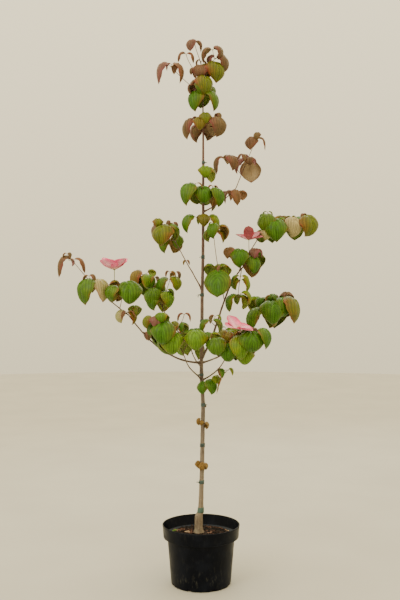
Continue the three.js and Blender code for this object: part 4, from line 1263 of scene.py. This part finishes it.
# Cross-section of a turn of tape: distance out, place across, and whether it is creased.
TAPE_SECTION = ((0.35, -1, 0), (1.3, -0.8, 1), (1.5, 0, 1), (1.3, 0.8, 1), (0.35, 1, 0))
LOWEST_TAPE = 189
GRAFT_TAPE = {"turns": 4, "seed": 1.7}
# For each tie after the first: turns of tape, heading of the knot and its tails (length,
# spread, drop).
KNOTS = [
    (2, 200, [(9, 0.6, 3)]), (3, 250, [(8, 0.5, 4), (6, 0.6, 2)]), (2, 20, [(9, 0.5, 6)]),
    (3, 180, [(10, 0.4, 5), (7, 0.6, 1)]), (2, 0, [(10, 0.5, 6), (8, 0.7, 2)]),
    (3, 190, [(16, 0.5, 9), (12, 0.7, 12)]), (3, 230, [(9, 0.5, 5)]),
    (3, 10, [(10, 0.4, 4), (6, 0.8, 1)]),
]
# The tape on the stem covers this many times the height of its bands in the solids.
TAPE_HEIGHT = 1.7


def wound_band(heap, middle, height, turns, seed):
    """Tape wound round the stem: overlapping flat turns that climb a little."""
    steps, sides = 26 * turns, len(TAPE_SECTION)
    pitch = height / turns
    half = pitch * 0.62
    rise = np.linspace(-height / 2 + pitch / 2, height / 2 - pitch / 2, steps)
    points = []
    for angle, up in zip(np.linspace(0, 2 * math.pi * turns, steps), rise):
        place = stem_at(middle + up)[0]
        way = np.array([math.cos(angle), math.sin(angle), 0])
        crease = 0.16 * math.sin(angle * 5 + seed) + 0.12 * math.sin(angle * 9 + 2 * seed)
        for out, across, creased in TAPE_SECTION:
            z = max(LOWEST_TAPE, middle + up + across * half)
            points.append(place * [1, 1, 0] + UP * z
                          + way * (stem_at(z)[1] + out + crease * creased))
    ends = [tuple(range(sides)), tuple(range(steps * sides - 1, (steps - 1) * sides - 1, -1))]
    heap.add(points, turned_over(between_rings(steps, sides)) + ends)


def knot(heap, middle, heading, tails, seed):
    """Two crossed lumps of tape and loose tails that curl."""
    place, radius = stem_at(middle)
    way = heading_of(heading)
    level = np.cross(UP, way)
    centre = place + way * (radius + 2.2)
    heap.add(*ball(centre, (7, 2.6), level + UP * 0.3, 5, 8))
    heap.add(*ball(centre + way * 0.6, (6, 2.1), UP - level * 0.4, 5, 8))
    for number, (length, spread, drop) in enumerate(tails):
        start = centre + way
        turn = (level if number % 2 else -level) * spread + way * 0.7 + UP * 0.25
        control = np.array([start, start + turn * length * 0.4,
                            start + turn * length * 0.8 - UP * drop * 0.3,
                            start + turn * length - UP * drop])
        line = on_curve(control, np.linspace(0, 1, 9))
        flat = unit(np.cross(turn, UP))
        points = []
        for i, spot in enumerate(line):
            curl = unit(flat * math.cos(i * 0.25 + seed) + UP * math.sin(i * 0.25 + seed))
            edge = np.cross(curl, unit(turn))
            for a, b in ((-1.5, -0.2), (1.5, -0.2), (1.5, 0.2), (-1.5, 0.2)):
                points.append(spot + curl * a + edge * b)
        heap.add(points, between_rings(len(line), 4) + [(3, 2, 1, 0), (32, 33, 34, 35)])


def stem_ties():
    graft, stem = Heap(), Heap()
    wound_band(graft, *TIES[0], **GRAFT_TAPE)
    graft.make("graft_tape", tape("graft_tape", "#2b403a", "#4f6f63"), "tie_tape", ["tie_1"],
               sharp=60)
    for number, ((middle, height), (turns, heading, tails)) in enumerate(zip(TIES[1:], KNOTS)):
        wound_band(stem, middle, height * TAPE_HEIGHT, turns, number + 0.4)
        knot(stem, middle, heading, tails, number)
    stem.make("stem_ties", tape("tie_tape", "#1a2324", "#3f5754"), "tie_tape",
              [f"tie_{i}" for i in range(2, 10)], sharp=60)


stem_ties()


# Finer twigs: the rule carried on in the axils of the longer leaves

# Chance of a twig, how far it reaches and rises, its leaves' length, the length from which they
# are broad, tries, turns away from the leaf and from the twig, how much a leaf shrinks to fit.
FINER = {"chance": 0.85, "reach": (12, 34), "leaf": (42, 84), "lift": (0.1, 0.9), "full": 50,
         "tries": 6, "turn": (25, 155), "leaf_turn": 80, "shrink": 0.72, "swirl": (-20, 20),
         "from_length": 66, "seed_step": 500}


def finer_leaf(tip, heading, length, roll):
    young = length < FINER["full"]
    return {**AXES, "root": tip, "seat": tip, "young": young, "heading": heading,
            "length": length,
            "ratio": LEAF["young" if young else "broad"] * mix(GROWTH["ratio"], next(roll)),
            "lift": mix(GROWTH["lift"], next(roll)), "fall": mix(GROWTH["fall"], next(roll)),
            "roll": 0, "swirl": mix(FINER["swirl"], next(roll)), "stalk": STALK_LENGTH * 0.7,
            "droop": mix(GROWTH["droop"], next(roll))}


def finer_pair(name, tip, heading, length, roll):
    """A pair of small leaves at a twig's tip; tells how many found room."""
    leaves = grown[name]["leaves"]
    before = len(leaves)
    for turn in (-FINER["leaf_turn"], FINER["leaf_turn"]):
        for shrink in (1.0, FINER["shrink"]):
            small = finer_leaf(tip, heading + turn, length * shrink, roll)
            sheet = dict(sheet_of(small), owner=name)
            if fits(sheet, name):
                taken.append(sheet)
                leaves.append(small)
                break
    return len(leaves) - before


def grow_finer():
    for name, mass in MASSES.items():
        roll = dice(mass["seed"] + FINER["seed_step"])
        long = [leaf for leaf in grown[name]["leaves"] if leaf["length"] > FINER["from_length"]]
        for leaf in long:
            chance, side = next(roll), next(roll)
            for attempt in range(FINER["tries"]):
                reach, rise, turn, size = (next(roll) for _ in range(4))
                if chance > FINER["chance"]:
                    continue
                way = 1 if (side > 0.5) == (attempt % 2 == 0) else -1
                heading = leaf["heading"] + mix(FINER["turn"], turn) * way
                tip = leaf["root"] + mix(FINER["reach"], reach) * (
                    heading_of(heading) + UP * mix(FINER["lift"], rise))
                if not (in_own_space(tip[None], name) and clear_of_limbs(tip[None])):
                    continue
                if finer_pair(name, tip, heading, mix(FINER["leaf"], size), roll):
                    grown[name]["twigs"].append((leaf["seat"], tip))
                    break


# Leaves that stand out singly, by mass and number: what differs from the rule.
SINGLE = {
    ("foliage_centre", 0): {"length": 100, "stalk": 15, "lift": -38, "fall": 82, "ratio": 0.9,
                            "curl": 0, "heart": 0.15, "droop": 0.6, "swirl": 0, "roll": 0},
    ("foliage_left", 2): {"heading": 230, "curl": 50},
    ("foliage_left", 6): {"length": 105, "ratio": 0.42, "curl": 0, "heading": 190},
    ("foliage_left", 9): {"length": 76, "ratio": 0.42, "curl": 10},
    ("foliage_left", 20): {"length": 44, "ratio": 0.36},
    ("foliage_right", 9): {"heading": 240, "length": 60, "ratio": 0.8, "curl": 40},
    ("foliage_right", 13): {"length": 62, "curl": 40},
    ("foliage_top", 11): {"length": 106, "ratio": 0.5, "curl": 0},
    ("foliage_top", 12): {"ratio": 0.5, "curl": 30},
    ("foliage_top", 17): {"heading": 226, "length": 60, "ratio": 0.75, "curl": 30},
    ("foliage_right_high", 0): {"curl": 10, "blunt": 1.6, "ratio": 0.69},
    ("foliage_right_high", 4): {"heading": 232, "curl": 40},
    ("foliage_right_high", 5): {"ratio": 0.32, "curl": 0},
    ("foliage_right_high", 6): {"ratio": 0.4, "curl": 10},
    ("foliage_right_high", 8): {"ratio": 0.45, "heading": 198, "curl": 20},
    ("foliage_right_high", 9): {"ratio": 0.5, "heading": 292, "length": 80, "curl": 10},
    ("foliage_right_high", 13): {"length": 50},
    ("foliage_low_right_bud", 2): {"heading": 186, "length": 90, "ratio": 0.22, "lift": -30,
                                   "fall": 80, "curl": 0, "swirl": 0},
}
# Masses whose grown leaves are longer than the rule's.
FULLER = {"foliage_right_low": 1.16, "foliage_right_top": 1.1, "foliage_top": 1.08,
          "foliage_left": 1.08}

grow_finer()
for name, share in FULLER.items():
    for leaf in grown[name]["leaves"]:
        leaf["length"] *= 1 if leaf["young"] else share
for (name, number), change in SINGLE.items():
    grown[name]["leaves"][number].update(change)


# Twigs, buds and leaf stalks

FLOWER_STALK = (1.0, 1.5)
TWIG = {"tip": 1.0, "foot": 1.36, "stem_foot": 1.7, "side": (1.1, 0.75)}
STALK_RADII = np.array([1.25, 0.85, 0.75, 0.75, 0.75, 0.6])
# Tones of the twigs' skin, from brown (0) to green (1).
TONES = {"stem": 0.1, "shoot": 0.25, "bud": 0.7, "twig": 0.7, "axil": 0.75, "tip": 0.8,
         "flower": 0.95}


def bud_shape(t):
    return np.maximum(0.02, np.sin(math.pi * t ** 0.6))


def shoot_tube(heap, name, number, shoot):
    """A shoot of a mass, swollen at its leaf pairs, with a bud at its tip."""
    mass, plan = MASSES[name], shoot["plan"]
    span = length_of(shoot["points"])
    shares = np.linspace(0, 1, max(6, int(span / 4)))
    line = on_curve(shoot["curve"], shares)
    flare, foot = 0.5, TWIG["foot"]
    if number:
        shift = on_curve(growth[name][0]["curve"], plan["at"])[0] - line[0]
        line = line + ((1 - shares) ** 2)[:, None] * shift
    else:
        tipped = mass["at"] in (1, STEM[-1][0])
        flare, foot = 0, limbs[mass["on"]]["radii"][-1] if tipped else TWIG["stem_foot"]
    joints = [pair[0] * span for pair in plan["pairs"]]
    radii = np.array([mix((foot, TWIG["tip"]), s) * (1 + swelling(s * span, joints, 2.2, 0.4))
                      * (1 + flare * math.exp(-s * span / 4)) for s in shares])
    heap.add(*tube(line, radii, 8), tone=TONES["shoot" if number else "stem"])
    if not plan.get("flower"):
        way = line[-1] - line[-2]
        heap.add(*ball(line[-1] + unit(way) * 2.2, (6.5, 1.5), way, 5, 7, bud_shape),
                 tone=TONES["bud"])


def bent(start, after, before, end, steps):
    """Points of a curve from its two ends and the two places that it bends towards."""
    return on_curve(np.array([start, after, before, end]), np.linspace(0, 1, steps))


def twigs_and_stalks():
    heap, stalks = Heap(), Heap()
    for name in MASSES:
        for number, shoot in enumerate(growth[name]):
            shoot_tube(heap, name, number, shoot)
        for seat, tip in grown[name]["twigs"]:
            line = bent(seat, seat + (tip - seat) * [0.5, 0.5, 0.2], tip - UP * 4, tip, 8)
            heap.add(*tube(line, np.linspace(*TWIG["side"], 8), 6), tone=TONES["twig"])
            heap.add(*ball(tip + UP * 1.6, (4.5, 1.1), UP, 4, 6), tone=TONES["tip"])
        for leaf in grown[name]["leaves"]:
            _, places, along, _, _ = midrib(leaf)
            way, start = along[0], leaf["seat"]
            end = places[0] + way * 1.5
            reach = np.linalg.norm(end - start)
            line = bent(start, start + way * reach * 0.3 + UP * reach * 0.15,
                        end - way * reach * 0.4, end, len(STALK_RADII))
            stalks.add(*tube(line, STALK_RADII * (0.75 if leaf["young"] else 1), 6))
            if not leaf["young"]:
                heap.add(*ball(start + way * 1.6 + UP * 1.8, (4, 0.95), way * 0.5 + UP, 4, 6),
                         tone=TONES["axil"])
        for flower in grown[name]["flowers"]:
            foot, base = flower["foot"] - UP * 2, flower["base"] + flower["up"] * 1.5
            line = bent(foot, foot + UP * 4, base - flower["up"] * 5, base, 12)
            heap.add(*tube(line, np.linspace(*FLOWER_STALK, 12), 8), tone=TONES["flower"])
    heap.make("twigs", twig_skin(), "young_bark", list(MASSES), sharp=70)
    stalks.make("leaf_stalks", stalk_skin(), "green_leaves", list(MASSES), sharp=70)


# Leaves

BLADE_ROWS = (0, 0.025, 0.06, 0.11, 0.17, 0.25, 0.34, 0.43, 0.52, 0.61, 0.7, 0.79, 0.87, 0.94, 1)
VEINS = ((0.28, 0.48), (0.46, 0.33), (0.64, 0.2), (0.80, 0.1), (0.93, 0.03))
VEIN_BEND = 0.12
# How the grown blades differ from the flat ones of the rule: thickness, height of the ribs,
# waves of the margin, bend of the tip (less in young leaves, and in those that show their
# side), length, width, hang of the sides, sway, and reach of the lobes at a heart-shaped base.
BLADE = {"thick": 0.4, "relief": 0.17, "wave": 0.02, "curls": (60, 120), "longer": 1.1,
         "young_curl": 0.35, "side_curl": 0.45, "broader": 1.12, "hang": 1.25, "ruffles": 18,
         "sway": 0.012, "sways": 7, "lobe": 0.22}


def blade_columns(t):
    """Places across half a blade: midrib, then crest and vein in turn, out to the margin."""
    lines = [0.0] + [limit * (1 - math.exp(-(t - start) / VEIN_BEND)) if t > start else 0.0
                     for limit, start in VEINS] + [1.0]
    out = [(0.0, 1.0, 0.0)]
    for number, (a, b) in enumerate(zip(lines, lines[1:])):
        out.append(((a + b) / 2, 0.0, b - a))
        out.append((b, 1.0 if number < len(VEINS) else 0.2, 0.0))
    return out


def blade_template(rows, columns):
    """One flat leaf as a grid that follows its veins, with both faces and a rim."""
    keys, spots, faces, which = {}, [], [], []

    def corner(row, side, column, layer):
        u, rib, lift = grid[row][column]
        if rows[row] in (0, 1):
            u, rib, lift = 0.0, 1.0, 0.0
        key = (row, layer, round(side * u, 5) + 0.0)
        if key not in keys:
            keys[key] = len(spots)
            spots.append((rows[row], side * u, rib, lift, layer))
        return keys[key]

    grid = [columns(t) for t in rows]
    width = len(grid[0])
    for row in range(len(rows) - 1):
        for side in (1, -1):
            for layer in (0, 1):
                for column in range(width - 1):
                    a, b, c, d = (corner(row + down, side, column + over, layer)
                                  for down, over in ((0, 0), (0, 1), (1, 1), (1, 0)))
                    for face in ((a, b, c), (a, c, d)):
                        faces.append(face[::-1] if (side == -1) != (layer == 1) else face)
                        which.append(layer)
            rim = [corner(row + down, side, width - 1, layer)
                   for down, layer in ((0, 0), (0, 1), (1, 1), (1, 0))]
            faces.append(rim if side == 1 else rim[::-1])
            which.append(1)
    clean = []
    for face, layer in zip(faces, which):
        face = [v for i, v in enumerate(face) if v != face[i - 1]]
        if len(set(face)) >= 3:
            clean.append((face, layer))
    above = [keys.get((row, 0, u), i) for i, (row, layer, u) in enumerate(keys)]
    values = dict(zip(("t", "u", "rib", "lift", "layer"), np.array(spots).T))
    return {**values, "above": np.array(above),
            "top": np.array([face for face, layer in clean if layer == 0]),
            "loops": np.array([v for face, _ in clean for v in face]),
            "counts": np.array([len(face) for face, _ in clean]),
            "which": np.array([layer for _, layer in clean])}


def full_outline(t):
    """Half width of a grown blade: rounded to its base, full, and drawn out to a point."""
    point = np.clip((t - 0.84) / 0.16, 0, 1)
    return (np.maximum(0, np.sin(math.pi * t ** 0.85)) ** 0.62
            * (1 - 0.5 * point * point * (3 - 2 * point)))


def smooth_along(values, i, s):
    """Values at the stations of each midrib, on a smooth curve through them."""
    slope = np.gradient(values, axis=1)
    return ((2 * s ** 3 - 3 * s ** 2 + 1) * values[:, i] + (s ** 3 - 2 * s ** 2 + s) * slope[:, i]
            + (3 * s ** 2 - 2 * s ** 3) * values[:, i + 1] + (s ** 3 - s ** 2) * slope[:, i + 1])


def normalised(vectors):
    return vectors / np.maximum(np.linalg.norm(vectors, axis=2, keepdims=True), 1e-9)


def column(leaves, key, default=None):
    return np.array([leaf.get(key, default) for leaf in leaves])[:, None]


def bend_blades(leaves, template, make):
    """Points of every leaf: the template bent along each one's midrib."""
    source = np.random.default_rng(make["seed"])
    frames = []
    for leaf in leaves:
        curl = float(source.uniform(*make["curls"]))
        curl *= BLADE["young_curl"] if leaf.get("young") else 1
        curl *= mix((BLADE["side_curl"], 1), abs(math.sin(math.radians(leaf["heading"]))))
        grown_leaf = dict(leaf, length=leaf["length"] * make["longer"])
        frames.append(midrib(grown_leaf, leaf.get("curl", curl)))
    places, across, face = (np.array([frame[i] for frame in frames]) for i in (1, 3, 4))
    t, u = template["t"][None], template["u"][None]
    i = np.minimum((t[0] * LEAF["stations"]).astype(int), LEAF["stations"] - 1)
    s = (t[0] * LEAF["stations"] - i)[None, :, None]
    spine = smooth_along(places, i, s)
    sideways, upward = (normalised(way[:, i] * (1 - s) + way[:, i + 1] * s)
                        for way in (across, face))
    length, droop = column(leaves, "length"), column(leaves, "droop")
    half = (length * column(leaves, "ratio") * BLADE["broader"] * 0.5
            * full_outline(t ** column(leaves, "blunt", 1)))
    phases = [source.uniform(0, 6.28, (len(leaves), 1)) for _ in range(2)]
    size = np.abs(u)
    hang = BLADE["hang"] * half * droop * LEAF["droop"] * (size - 2 * size ** 2)
    crest = half * make["relief"] * template["lift"][None]
    bulge = np.sin(math.pi * t)
    ruffle = (make["wave"] * length * size ** 3 * bulge
              * np.sin(BLADE["ruffles"] * t + phases[0] + np.where(u > 0, 0, 2.1)))
    sway = BLADE["sway"] * length * bulge * np.sin(BLADE["sways"] * t + phases[1])
    lobe = column(leaves, "heart", 0) * length * size ** 1.4 * np.exp(-t / BLADE["lobe"])
    points = (spine + sideways * (half * u + sway)[..., None]
              + upward * (hang + crest + ruffle)[..., None]
              - np.cross(upward, sideways) * lobe[..., None])
    a, b, c = (points[:, template["top"][:, i]] for i in range(3))
    slants = np.cross(b - a, c - a)
    normals = np.zeros_like(points)
    for i in range(3):
        np.add.at(normals, (slice(None), template["top"][:, i]), slants)
    normals = normalised(normals[:, template["above"]])
    return points - normals * (template["layer"] * make["thick"])[None, :, None]


def blade_piece(name, leaves, template, materials, nodes, tones, make):
    """Many leaves joined into one piece, each side with its own place on the bake map."""
    points = bend_blades(leaves, template, make).reshape(-1, 3)
    number, stride = len(leaves), len(template["t"])
    loops = (template["loops"][None] + np.arange(number)[:, None] * stride).ravel()
    counts, which = (np.tile(template[key], number) for key in ("counts", "which"))
    corner_t, corner_u = (template[key][template["loops"]] for key in ("t", "u"))
    cells = int(math.ceil(math.sqrt(number * 2)))
    cell = np.arange(number)[:, None] * 2 + np.repeat(template["which"], template["counts"])[None]
    # A side of a leaf fills most of a square cell of the bake map.
    inside_x = 0.5 + 0.46 * corner_u * full_outline(corner_t)
    inside_y = 0.03 + 0.94 * corner_t
    bake = np.stack([(cell % cells + inside_x[None]) / cells,
                     (cell // cells + inside_y[None]) / cells], 2)
    blade = np.tile(np.stack([(corner_u + 1) / 2, corner_t], 1), (number, 1))
    make_piece(name, points, loops, counts, materials, nodes, which=which,
               values={"rib": np.tile(template["rib"], number), "tone": np.repeat(tones, stride)},
               maps={"blade": blade, "OFBake": bake.reshape(-1, 2)}, sharp=55)


# Autumn tints: name, slot, blade, veins, (margin, flush), then the underside's blade and veins.
TINT_FINISH = {
    "g": ("green", "green_leaves", "#386404", "#6f8a2c", ("#6e4420", "#586a10"),
          "#6c8038", "#93a94c"),
    "y": ("bright", "green_leaves", "#527a0a", "#8fa634", ("#8a4c28", "#777614"),
          "#808e40", "#aab550"),
    "o": ("olive", "green_leaves", "#5b6914", "#8a823a", ("#83392a", "#744f1a"),
          "#8b764a", "#ab8e56"),
    "b": ("bronze", "bronze_leaves", "#61502f", "#8f704f", ("#6c2b2c", "#734439"),
          "#c4b08c", "#8a7054"),
    "r": ("russet", "bronze_leaves", "#6e512f", "#9c7248", ("#76322c", "#7e513a"),
          "#a27f5e", "#8a6849"),
    "p": ("purple", "bronze_leaves", "#6e5040", "#a07a6c", ("#682c36", "#7c464a"),
          "#a07478", "#b88a8a"),
    "w": ("turned", "green_leaves", "#9a9a5e", "#c4bb92", ("#8c5a4a", "#a88c6c"),
          "#4c7414", "#88a040"),
}


def deal_leaves():
    """Leaves by tint: each mass's letters are dealt in turn."""
    dealt = {letter: [] for letter in TINT_FINISH}
    for name in MASSES:
        letters = TINTS[name]
        for number, leaf in enumerate(grown[name]["leaves"]):
            dealt[letters[number % len(letters)]].append(leaf)
    return dealt


def leaf_pieces():
    template = blade_template(BLADE_ROWS, blade_columns)
    for number, (letter, leaves) in enumerate(deal_leaves().items()):
        title, slot, blade, vein, edge, under, under_vein = TINT_FINISH[letter]
        tones = np.random.default_rng(300 + number).uniform(0, 0.75, len(leaves)) ** 1.4
        faces = [leaf_face(f"{title}_upper", blade, vein, edge),
                 leaf_face(f"{title}_under", under, under_vein, (edge[0], under_vein), upper=False)]
        blade_piece(f"leaves_{title}", leaves, template, faces, list(MASSES), tones,
                    dict(BLADE, seed=40 + number))


# Flowers

BRACT_ROWS = (0, 0.05, 0.14, 0.26, 0.4, 0.55, 0.7, 0.84, 0.94, 1)
BRACT_LINES = (0, 0.18, 0.36, 0.54, 0.72, 0.88, 1)
BRACT_BLADE = {"thick": 0.7, "relief": 0.09, "wave": 0.03, "curls": (0, 0), "longer": 1.0,
               "seed": 77}
BRACT_GROWN = {"broader": 1.3, "longer": 1.2, "seed": 71}
# How much each flower's bracts are dulled; the second flower's strong dulling is painted shade.
FLOWER_TONES = (0.2, 0.75, 0.35)
# One bract of the second flower has withered and stands up in front.
WITHERED = {"number": 6, "tone": 1.0,
            "shape": {"heading": 262, "lift": 82, "fall": -48, "ratio": BRACT["broad"] * 0.82}}
EYE = {"size": (8.4, 4.4), "knobs": 34, "knob": (2.3, 0.85), "reach": 4.3,
       "golden_angle": 2.399963}


def bract_columns(t):
    out = [(0.0, 1.0, 0.0)]
    for number, (a, b) in enumerate(zip(BRACT_LINES, BRACT_LINES[1:])):
        out.append(((a + b) / 2, 0.0, (b - a) * math.sin(math.pi * min(1, t * 1.05))))
        out.append((b, 1.0 if number < 5 else 0.2, 0.0))
    return out


def flower_eye(heap, flower):
    """A round eye with knobs set in a spiral."""
    up = flower["up"]
    centre = flower["base"] + up * BRACT["eye"] * 0.7
    heap.add(*ball(centre, EYE["size"], up, 7, 12))
    side = unit(np.cross(up, RIGHT))
    other = np.cross(up, side)
    for i in range(EYE["knobs"]):
        z = 1 - 1.7 * (i + 0.5) / EYE["knobs"]
        flat, turn = math.sqrt(1 - z * z), i * EYE["golden_angle"]
        way = up * z + (side * math.cos(turn) + other * math.sin(turn)) * flat
        heap.add(*ball(centre + way * EYE["reach"], EYE["knob"], way, 3, 5))


def flower_pieces():
    flowers = [flower for mass in grown.values() for flower in mass["flowers"]]
    source = np.random.default_rng(BRACT_GROWN["seed"])
    bracts, tones = [], []
    for flower, tone in zip(flowers, FLOWER_TONES):
        for bract in flower["bracts"]:
            swirl, roll, lift, fall = (float(source.uniform(low, high)) for low, high in (
                (-14, 14), (-9, 9), (14, 26), (-16, 18)))
            tones.append(tone)
            bracts.append(dict(bract, swirl=swirl, roll=roll, lift=bract["lift"] + lift,
                               fall=bract["fall"] + fall,
                               ratio=BRACT["broad"] * BRACT_GROWN["broader"],
                               length=bract["length"] * BRACT_GROWN["longer"]))
    bracts[WITHERED["number"]].update(WITHERED["shape"])
    tones[WITHERED["number"]] = WITHERED["tone"]
    face = bract_face()
    blade_piece("bracts", bracts, blade_template(BRACT_ROWS, bract_columns), [face, face],
                list(MASSES), tones, BRACT_BLADE)
    heap = Heap()
    for flower in flowers:
        flower_eye(heap, flower)
    heap.make("flower_eyes", eye_green(), "green_leaves", list(MASSES), sharp=60)


twigs_and_stalks()
leaf_pieces()
flower_pieces()


# Dried leaves that hang from old buds on the stem: height, heading and length.
DRIED = [(612, 186, 36), (606, 236, 26), (599, 348, 36), (594, 20, 24), (453, 208, 34),
         (449, 262, 42), (446, 335, 34), (443, 160, 28), (441, 300, 30), (664, 30, 14)]
DRIED_LEAF = {**AXES, "ratio": 0.72, "lift": 30, "fall": 118, "swirl": 60, "stalk": 2,
              "droop": 2.4, "young": True}
DRIED_BLADE = {"thick": 0.5, "relief": 0.2, "wave": 0.05, "curls": (0, 0), "longer": 1.0,
               "seed": 91}


def dried_leaves():
    leaves = []
    for number, (height, heading, length) in enumerate(DRIED):
        place, radius = stem_at(height)
        leaves.append(dict(DRIED_LEAF, root=place + heading_of(heading) * (radius - 0.6),
                           heading=heading, length=length, roll=30 * (-1) ** number))
    edge = ("#5f3a20", "#7e6a30")
    faces = [leaf_face("dried_upper", "#75552a", "#96774a", edge),
             leaf_face("dried_under", "#7f603c", "#997a50", edge, upper=False)]
    blade_piece("dried_bud_leaves", leaves, blade_template(BLADE_ROWS, blade_columns), faces,
                [], np.full(len(leaves), 0.4), DRIED_BLADE)


dried_leaves()


# Floor, light and camera, in metres

FLOOR_RADIUS, FLOOR_SIDES = 9, 64
# The floor lies this much below the pot, so that their faces do not meet.
FLOOR_DROP = 0.0005
# Name, place, aim, side and power of each lamp.
LAMPS = (("key", (-2.4, -2.8, 3.0), (0, 0, 1.1), 2.2, 95),
         ("fill", (2.6, -2.2, 1.9), (0, 0, 1.0), 2.4, 28),
         ("back", (0.6, 2.8, 2.8), (0, 0, 1.2), 2.4, 30))
CAMERA = {"place": (-0.004, -3.05, 1.06), "lens": 48.72, "sensor": 36}


def sky():
    """Soft daylight, brighter overhead."""
    world = bpy.data.worlds.new("studio")
    bpy.context.scene.world = world
    world.use_nodes = True
    tree = world.node_tree
    way = node(tree, "SeparateXYZ", {0: node(tree, "TexCoord", take="Generated")}, 2)
    glow = node(tree, "MapRange", {0: way, 1: -0.6, 2: 0.9, 3: 0.75, 4: 3.0})
    tree.nodes["Background"].inputs[0].default_value = linear("#e6d8b2")
    tree.links.new(glow, tree.nodes["Background"].inputs[1])


def pale_floor():
    mesh = bpy.data.meshes.new("floor")
    rim = circle(FLOOR_SIDES) * FLOOR_RADIUS - UP * FLOOR_DROP
    mesh.from_pydata(rim.tolist(), [], [tuple(range(FLOOR_SIDES))])
    f = Finish("pale_floor")
    clouds = f.add("TexNoise", f.sized(500, 2, 0.55))
    clouds = f.add("MapRange", {0: clouds, 3: 0.45, 4: 0.55}, **SMOOTH)
    mesh.materials.append(f.done({"Base Color": f.lit(linear("#bcbab1")[:3], clouds),
                                  "Roughness": 0.85}))
    placed("floor", mesh)


def lamps():
    for name, place, aim, size, power in LAMPS:
        light = bpy.data.lights.new(name, "AREA")
        light.energy, light.size = power, size
        lamp = placed(name, light)
        lamp.location = place
        way = np.array(aim, float) - place
        lamp.rotation_euler = (math.atan2(math.hypot(way[0], way[1]), -way[2]), 0,
                               math.pi - math.atan2(way[0], -way[1]))


def camera():
    data = bpy.data.cameras.new("camera")
    data.lens, data.sensor_width = CAMERA["lens"], CAMERA["sensor"]
    eye = placed("camera", data)
    eye.location = CAMERA["place"]
    eye.rotation_euler = (math.radians(90), 0, 0)
    bpy.context.scene.camera = eye


sky()
pale_floor()
lamps()
camera()
